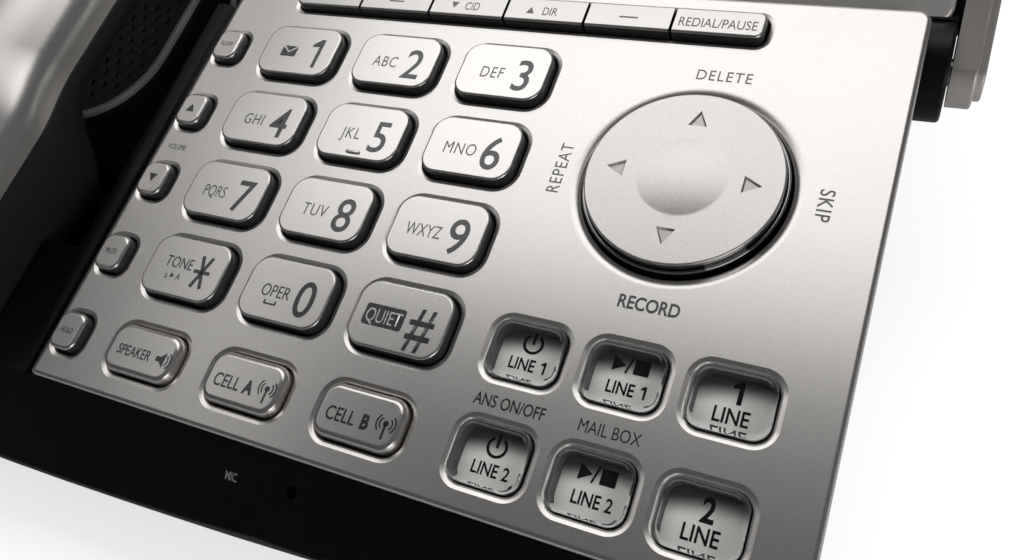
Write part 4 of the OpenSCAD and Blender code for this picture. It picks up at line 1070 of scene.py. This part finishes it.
def make_hook():
    """Button that the handset holds down, with a rolled and slightly domed top."""
    low, high = span("hook_button", PANEL)
    radius, flange, roll, dome = 3.5, 1.0, 0.8, 0.15
    crown = [(radius - roll * (1 - math.cos(a)), high.z - dome - roll * (1 - math.sin(a))) for a in quarter_turn(6)]
    outer = (high.x - low.x) / 2
    profile = [(0, low.z), (outer, low.z), (outer, low.z + flange), (radius, low.z + flange)] + crown + [(0, high.z)]
    piece(turned(profile, ((low.x + high.x) / 2, (low.y + high.y) / 2), 64), "hook_plunger", [SOCKET_DARK], "hook",
          stands_for=["hook_button"])


def make_grille_rim():
    """Bead around the perforated grille."""
    low, high = span("speaker_grille", PANEL)
    middle = ((low.x + high.x) / 2, (low.y + high.y) / 2)
    w, h = high.x - low.x, high.y - low.y
    foot, bead, rise, edge, lap, steps = high.z - 0.8, 0.9, 0.35, 0.4, 0.4, 24
    outer_r, inner_r = w / 2 + bead - 0.15, w / 2 - 0.35
    ring = slab(w + 2 * bead, h + 2 * bead, outer_r, foot, high.z + rise, edge, middle, steps)
    ring = carved(ring, [slab(w - lap, h - lap, inner_r, foot - 1, high.z + 2, 0, middle, steps)])
    piece(ring, "grille_bead", [BEAD], "base")


def contact_row(width, length, count=4):
    """Sprung contact wires in a socket whose mouth faces +y at the origin."""
    pitch, wire, edge, lean = 1.1, 0.36, 0.1, math.radians(22)
    wires = []
    for k in range(count):
        middle = ((k - (count - 1) / 2) * pitch * width, -length / 2)
        strip = slab(wire, length, edge, 0, wire, edge, middle, 3, 2)
        turn_all(strip, lean, "X")
        wires.append(strip)
    return joined(wires)


def make_contacts():
    """Contact wires in the line sockets, the cord's socket in the base and the one in the handset."""
    low, high = span("modular_jacks", MM)
    socket_h, inset, above = 13.0, 2.0, 2
    wire_z = low.z + 0.66 * socket_h
    mouths = [Matrix.Translation((x, high.y - inset, wire_z)) for x in LINE_SOCKETS]
    mouths.append(Matrix.Translation((low.x + inset, SIDE_SOCKET, wire_z)) @ Matrix.Rotation(math.pi / 2, 4, "Z"))
    for number, mouth in enumerate(mouths):
        piece(contact_row(1.2, 8.5), "line_contacts_%d" % number, [CONTACT], "base", MM @ mouth)
    low, high = span("handset_jack", PANEL)
    mouth = (Matrix.Translation(((low.x + high.x) / 2, low.y + inset, (low.z + high.z) / 2 + above))
             @ Matrix.Rotation(math.pi, 4, "Z"))
    piece(contact_row(1.0, 6.5), "handset_contacts", [CONTACT], "handset", PANEL @ mouth)


def make_display():
    """Silver bezel over a black shell, with a window, a printed mask and the liquid crystal under it."""
    low, high = span("display_frame", DISPLAY)
    middle = ((low.x + high.x) / 2, (low.y + high.y) / 2)
    bezel_corner, bezel_edge, lap, hole_corner, rim_w, shelf, through = 3.0, 0.7, 0.8, 1.6, 1.0, 0.7, 3.0
    bezel = slab(high.x - low.x, high.y - low.y, bezel_corner, low.z, high.z, bezel_edge, middle)
    glass_low, glass_high = span("display_window", DISPLAY)
    glass_w, glass_h = glass_high.x - glass_low.x, glass_high.y - glass_low.y
    hole = rim_cutter(middle, glass_w + 2 * SEAT_GAP - lap, glass_h + 2 * SEAT_GAP - lap, hole_corner, rim_w, shelf,
                      high.z, through)
    reach = 30
    knuckles = [rod(BOSS_ROOM, (u, 0, 0), (u + side * reach, 0, 0), 64)
                for u, side in ((KNUCKLE_IN, -1), (FASCIA_W - KNUCKLE_IN, 1))]
    piece(carved(bezel, [hole] + knuckles), "display_bezel", [BEZEL_SILVER], "display", DISPLAY, ["display_frame"])
    shell_roll, shell_back = 0.5, 1.5
    shell = softened(copy_of("display_case", DISPLAY), shell_roll, lambda p: p.z < shell_back)
    piece(shell, "display_shell", [CASE_BLACK], "display", DISPLAY, ["display_case"])
    face, glass_corner, glass_edge, border, open_corner = glass_low.z, 1.8, 0.2, 9, 1.0
    glass_lift, glass_sunk, mask_low, mask_high = 0.08, 0.2, 0.02, 0.05
    glass = slab(glass_w, glass_h, glass_corner, face + glass_lift, glass_high.z - glass_sunk, glass_edge, middle)
    piece(glass, "display_glass", [WINDOW], "display", DISPLAY, ["display_window"])
    opening = slab(glass_w - border, glass_h - border, open_corner, face - 1, face + 1, 0, middle)
    mask = slab(glass_w, glass_h, glass_corner, face + mask_low, face + mask_high, 0, middle)
    piece(carved(mask, [opening]), "display_mask", [INK], "display", DISPLAY)
    dress(CRYSTAL, "lcd_module")
    make_arms()


def make_arms():
    """Side arms whose outer faces carry a raised strip."""
    step, border, roll, near_end = 1.1, 1.2, 0.35, 2
    bm = copy_of("display_arms", DISPLAY)
    bm.normal_update()
    low, high = span("display_arms", DISPLAY)
    for side, end in ((-1, low.x), (1, high.x)):
        outer = [f for f in bm.faces if f.normal.x * side > 0.99 and abs(f.calc_center_median().x - end) < 0.01]
        rim = {v for f in outer for v in f.verts}
        bmesh.ops.translate(bm, vec=(-side * step, 0, 0), verts=list(rim))
        bmesh.ops.inset_region(bm, faces=outer, thickness=border, use_even_offset=True, use_boundary=True)
        pushed(bm, outer, (side * step, 0, 0))
    softened(bm, roll, lambda p: p.x < low.x + near_end or p.x > high.x - near_end)
    piece(bm, "side_arms", [ARM_SILVER], "display", DISPLAY, ["display_arms"])


# Handset, drawn along its length through its sections

def end_round(depth, radius, power):
    """Share of the full size at a depth from a rounded end."""
    return 1.0 if depth >= radius else (1 - ((radius - depth) / radius) ** power) ** (1 / power)


def signed_power(value, power):
    """A power that keeps its value's sign."""
    return math.copysign(abs(value) ** power, value)


def hand_section(s):
    """Half width, rise over the parting line and drop under it, at a place along the handset."""
    nose_power, end_power, bow_drop = 2.2, 2.4, 3
    t = min(max((abs(s) - HANDLE_LEN / 2) / POD_RAMP, 0), 1)
    pod = t * t * (3 - 2 * t)
    depth = HAND_LEN / 2 - abs(s)
    nose = end_round(depth, NOSE_R, nose_power)
    half = (HANDLE_W + (HAND_W - HANDLE_W) * pod) / 2 * end_round(depth, END_R, end_power)
    rise = (HAND_TOP - PARTING - bow_drop * (s / (HAND_LEN / 2)) ** 2) * nose
    drop = (PARTING - HANDLE_LIFT + (HANDLE_LIFT + POD_DROP) * pod) * nose
    return half, rise, drop


def hand_stations():
    """Places of the sections, closer at the ramps and at the tips."""
    on_handle, on_ramp, on_pod = 5, 10, 4
    half, ramp = HAND_LEN / 2, HANDLE_LEN / 2
    pod, inner = ramp + POD_RAMP, half - END_R
    places = [ramp * k / on_handle for k in range(1, on_handle + 1)]
    places += [ramp + POD_RAMP * k / on_ramp for k in range(1, on_ramp + 1)]
    places += [pod + (inner - pod) * k / on_pod for k in range(1, on_pod + 1)]
    places += [half - END_R * (1 - math.cos(math.radians(a))) for a in range(84, 3, -6)]
    return [-s for s in reversed(places)] + [0.0] + places


def hand_skin(section):
    """A closed skin: a ring drawn through the sections by extruding it, and filled at both tips."""
    bm = bmesh.new()
    turn = bm.verts.layers.float.new("turn")
    bmesh.ops.create_circle(bm, cap_ends=False, segments=96, radius=1)
    for vert in bm.verts:
        vert[turn] = math.atan2(vert.co.x, vert.co.y)
    ring_verts, ring = bm.verts[:], bm.edges[:]
    ends = []
    for count, s in enumerate(hand_stations()):
        if count:
            made = bmesh.ops.extrude_edge_only(bm, edges=ring)["geom"]
            ring_verts = [g for g in made if isinstance(g, bmesh.types.BMVert)]
            fresh = set(ring_verts)
            ring = [g for g in made if isinstance(g, bmesh.types.BMEdge) and fresh.issuperset(g.verts)]
        else:
            ends = ring
        size = hand_section(s)
        for vert in ring_verts:
            x, z = section(vert[turn], *size)
            vert.co = (HAND_U + x, HAND_MID + s, PARTING + z)
    for edges in (ends, ring):
        bmesh.ops.contextual_create(bm, geom=edges)
    face_outwards(bm)
    return bm


def shell_outline(turn, half, rise, _):
    """Silver back: crowned above the seam, flat under it."""
    side_power, crown_power = 0.8, 0.62
    crown = max(math.cos(turn), 0) ** crown_power
    return half * signed_power(math.sin(turn), side_power), SEAM / 2 + max(rise - SEAM / 2, 0) * crown


def face_outline(turn, half, rise, drop):
    """Black face: full below the seam, with a tongue that stands up into the back."""
    side_power, belly_power, tongue_w, tongue_h = 0.62, 0.5, 0.96, 0.6
    if math.cos(turn) > 1e-5:
        return tongue_w * half * math.sin(turn), min(tongue_h, 0.5 * rise)
    belly = max(-math.cos(turn), 0) ** belly_power
    return half * signed_power(math.sin(turn), side_power), -SEAM / 2 - max(drop - SEAM / 2, 0) * belly


def make_handset():
    """Silver back over a black face that has dished sound holes and a socket."""
    piece(hand_skin(shell_outline), "handset_back", [SILVER], "handset", stands_for=["handset_shell"])
    face, from_end, below, lip, deep = -POD_DROP, 28, 3, 0.4, 2.4
    ear, mouth = HAND_MID + HAND_LEN / 2 - from_end, HAND_MID - HAND_LEN / 2 + from_end
    cutters = []
    for v, radius, dish in ((ear, 15.0, 0.9), (mouth, 10.0, 0.6)):
        bowl = [(radius * math.sin(a), face - lip + (dish + lip) * math.cos(a)) for a in quarter_turn(8)]
        profile = [(0, face - below), (radius, face - below)] + bowl[::-1]
        cutters.append(turned(profile, (HAND_U, v), 64))
    ear_ring, ear_holes, mouth_pitch = 6, 8, 2.4
    turns = [math.radians(360 / ear_holes * k) for k in range(ear_holes)]
    holes = [(HAND_U + ear_ring * math.cos(a), ear + ear_ring * math.sin(a)) for a in turns]
    holes += [(HAND_U + x, mouth) for x in (-mouth_pitch, 0, mouth_pitch)]
    cutters += [rod(SOUND_HOLE, (u, v, face - 1), (u, v, face + deep)) for u, v in holes]
    low, high = span("handset_jack", PANEL)
    room, open_end = Vector((SEAT_GAP, SEAT_GAP, SEAT_GAP)), 4
    cutters.append(block((low.x - SEAT_GAP, low.y - open_end, low.z - SEAT_GAP), high + room))
    piece(carved(hand_skin(face_outline), cutters), "handset_grip", [GRIP_BLACK], "handset",
          stands_for=["handset_face"])


# Studio

def make_sky():
    """A white surround that gives little light of its own."""
    dim, white = 0.05, 1.0
    world = bpy.data.worlds.new("studio")
    bpy.context.scene.world = world
    world.use_nodes = True
    tree = world.node_tree
    sky = tree.nodes["Background"]
    sky.inputs["Color"].default_value = grey(1)
    sight = tree.nodes.new("ShaderNodeLightPath")
    level = tree.nodes.new("ShaderNodeMix")
    level.inputs[2].default_value, level.inputs[3].default_value = dim, white
    tree.links.new(sight.outputs["Is Camera Ray"], level.inputs[0])
    tree.links.new(level.outputs[0], sky.inputs["Strength"])


def softbox(name, spot, target, size, watts, turn=0.0):
    """A rectangular lamp that faces a target."""
    light = bpy.data.lights.new(name, "AREA")
    light.shape = "RECTANGLE"
    light.size, light.size_y = size
    light.energy = watts
    lamp = bpy.data.objects.new(name, light)
    bpy.context.scene.collection.objects.link(lamp)
    away = Vector(spot) - Vector(target)
    lamp.matrix_world = (Matrix.Translation(spot) @ away.to_track_quat("Z", "Y").to_matrix().to_4x4()
                         @ Matrix.Rotation(math.radians(turn), 4, "Z"))
    return lamp


def make_lamps():
    """Each lamp has its place, its target, its width and height in metres, its watts and its turn in degrees."""
    keypad = (0.0, 0.0, 0.04)
    softbox("overhead_softbox", (-0.16, 0.33, 0.8), (-0.16, 0.33, 0.0), (0.92, 0.57), 2.6, 3)
    softbox("left_strip", (-0.65, -0.06, 0.8), (-0.65, -0.06, 0.0), (0.15, 0.54), 0.29)
    right = softbox("right_softbox", (0.9, 0.1, 0.45), keypad, (0.7, 0.5), 3.5)
    right.visible_glossy = False
    softbox("front_softbox", (0.8, -0.8, 0.3), keypad, (0.7, 0.3), 2.0)


def make_floor():
    """A pale floor that glows to the camera alone."""
    half_w, glow_level, cloud_scale = 3, 0.7, 3
    finish = Finish("studio_floor")
    cloud = finish.noise(cloud_scale, 2.0)
    seen = finish.node("ShaderNodeLightPath", output="Is Camera Ray")
    glow = finish.blend(seen, grey(0.0), grey(1.0))
    finish.coat({"Base Color": finish.blend(cloud, grey(0.84), grey(0.88)), "Roughness": 0.8,
                 "Specular IOR Level": 0.1, "Emission Color": glow, "Emission Strength": glow_level})
    bm = bmesh.new()
    bmesh.ops.create_grid(bm, x_segments=1, y_segments=1, size=half_w)
    mesh = bpy.data.meshes.new("floor")
    bm.to_mesh(mesh)
    bm.free()
    mesh.materials.append(finish.material)
    floor = bpy.data.objects.new("floor", mesh)
    bpy.context.scene.collection.objects.link(floor)


def make_studio():
    bpy.context.scene.view_settings.view_transform = "Standard"
    make_sky()
    make_lamps()
    make_floor()


make_fascia()
make_keys()
make_pad()
print_dial()
print_functions()
print_soft_keys()
print_side_keys()
print_clear_keys()
print_panel()
make_case()
make_display()
make_handset()
make_studio()
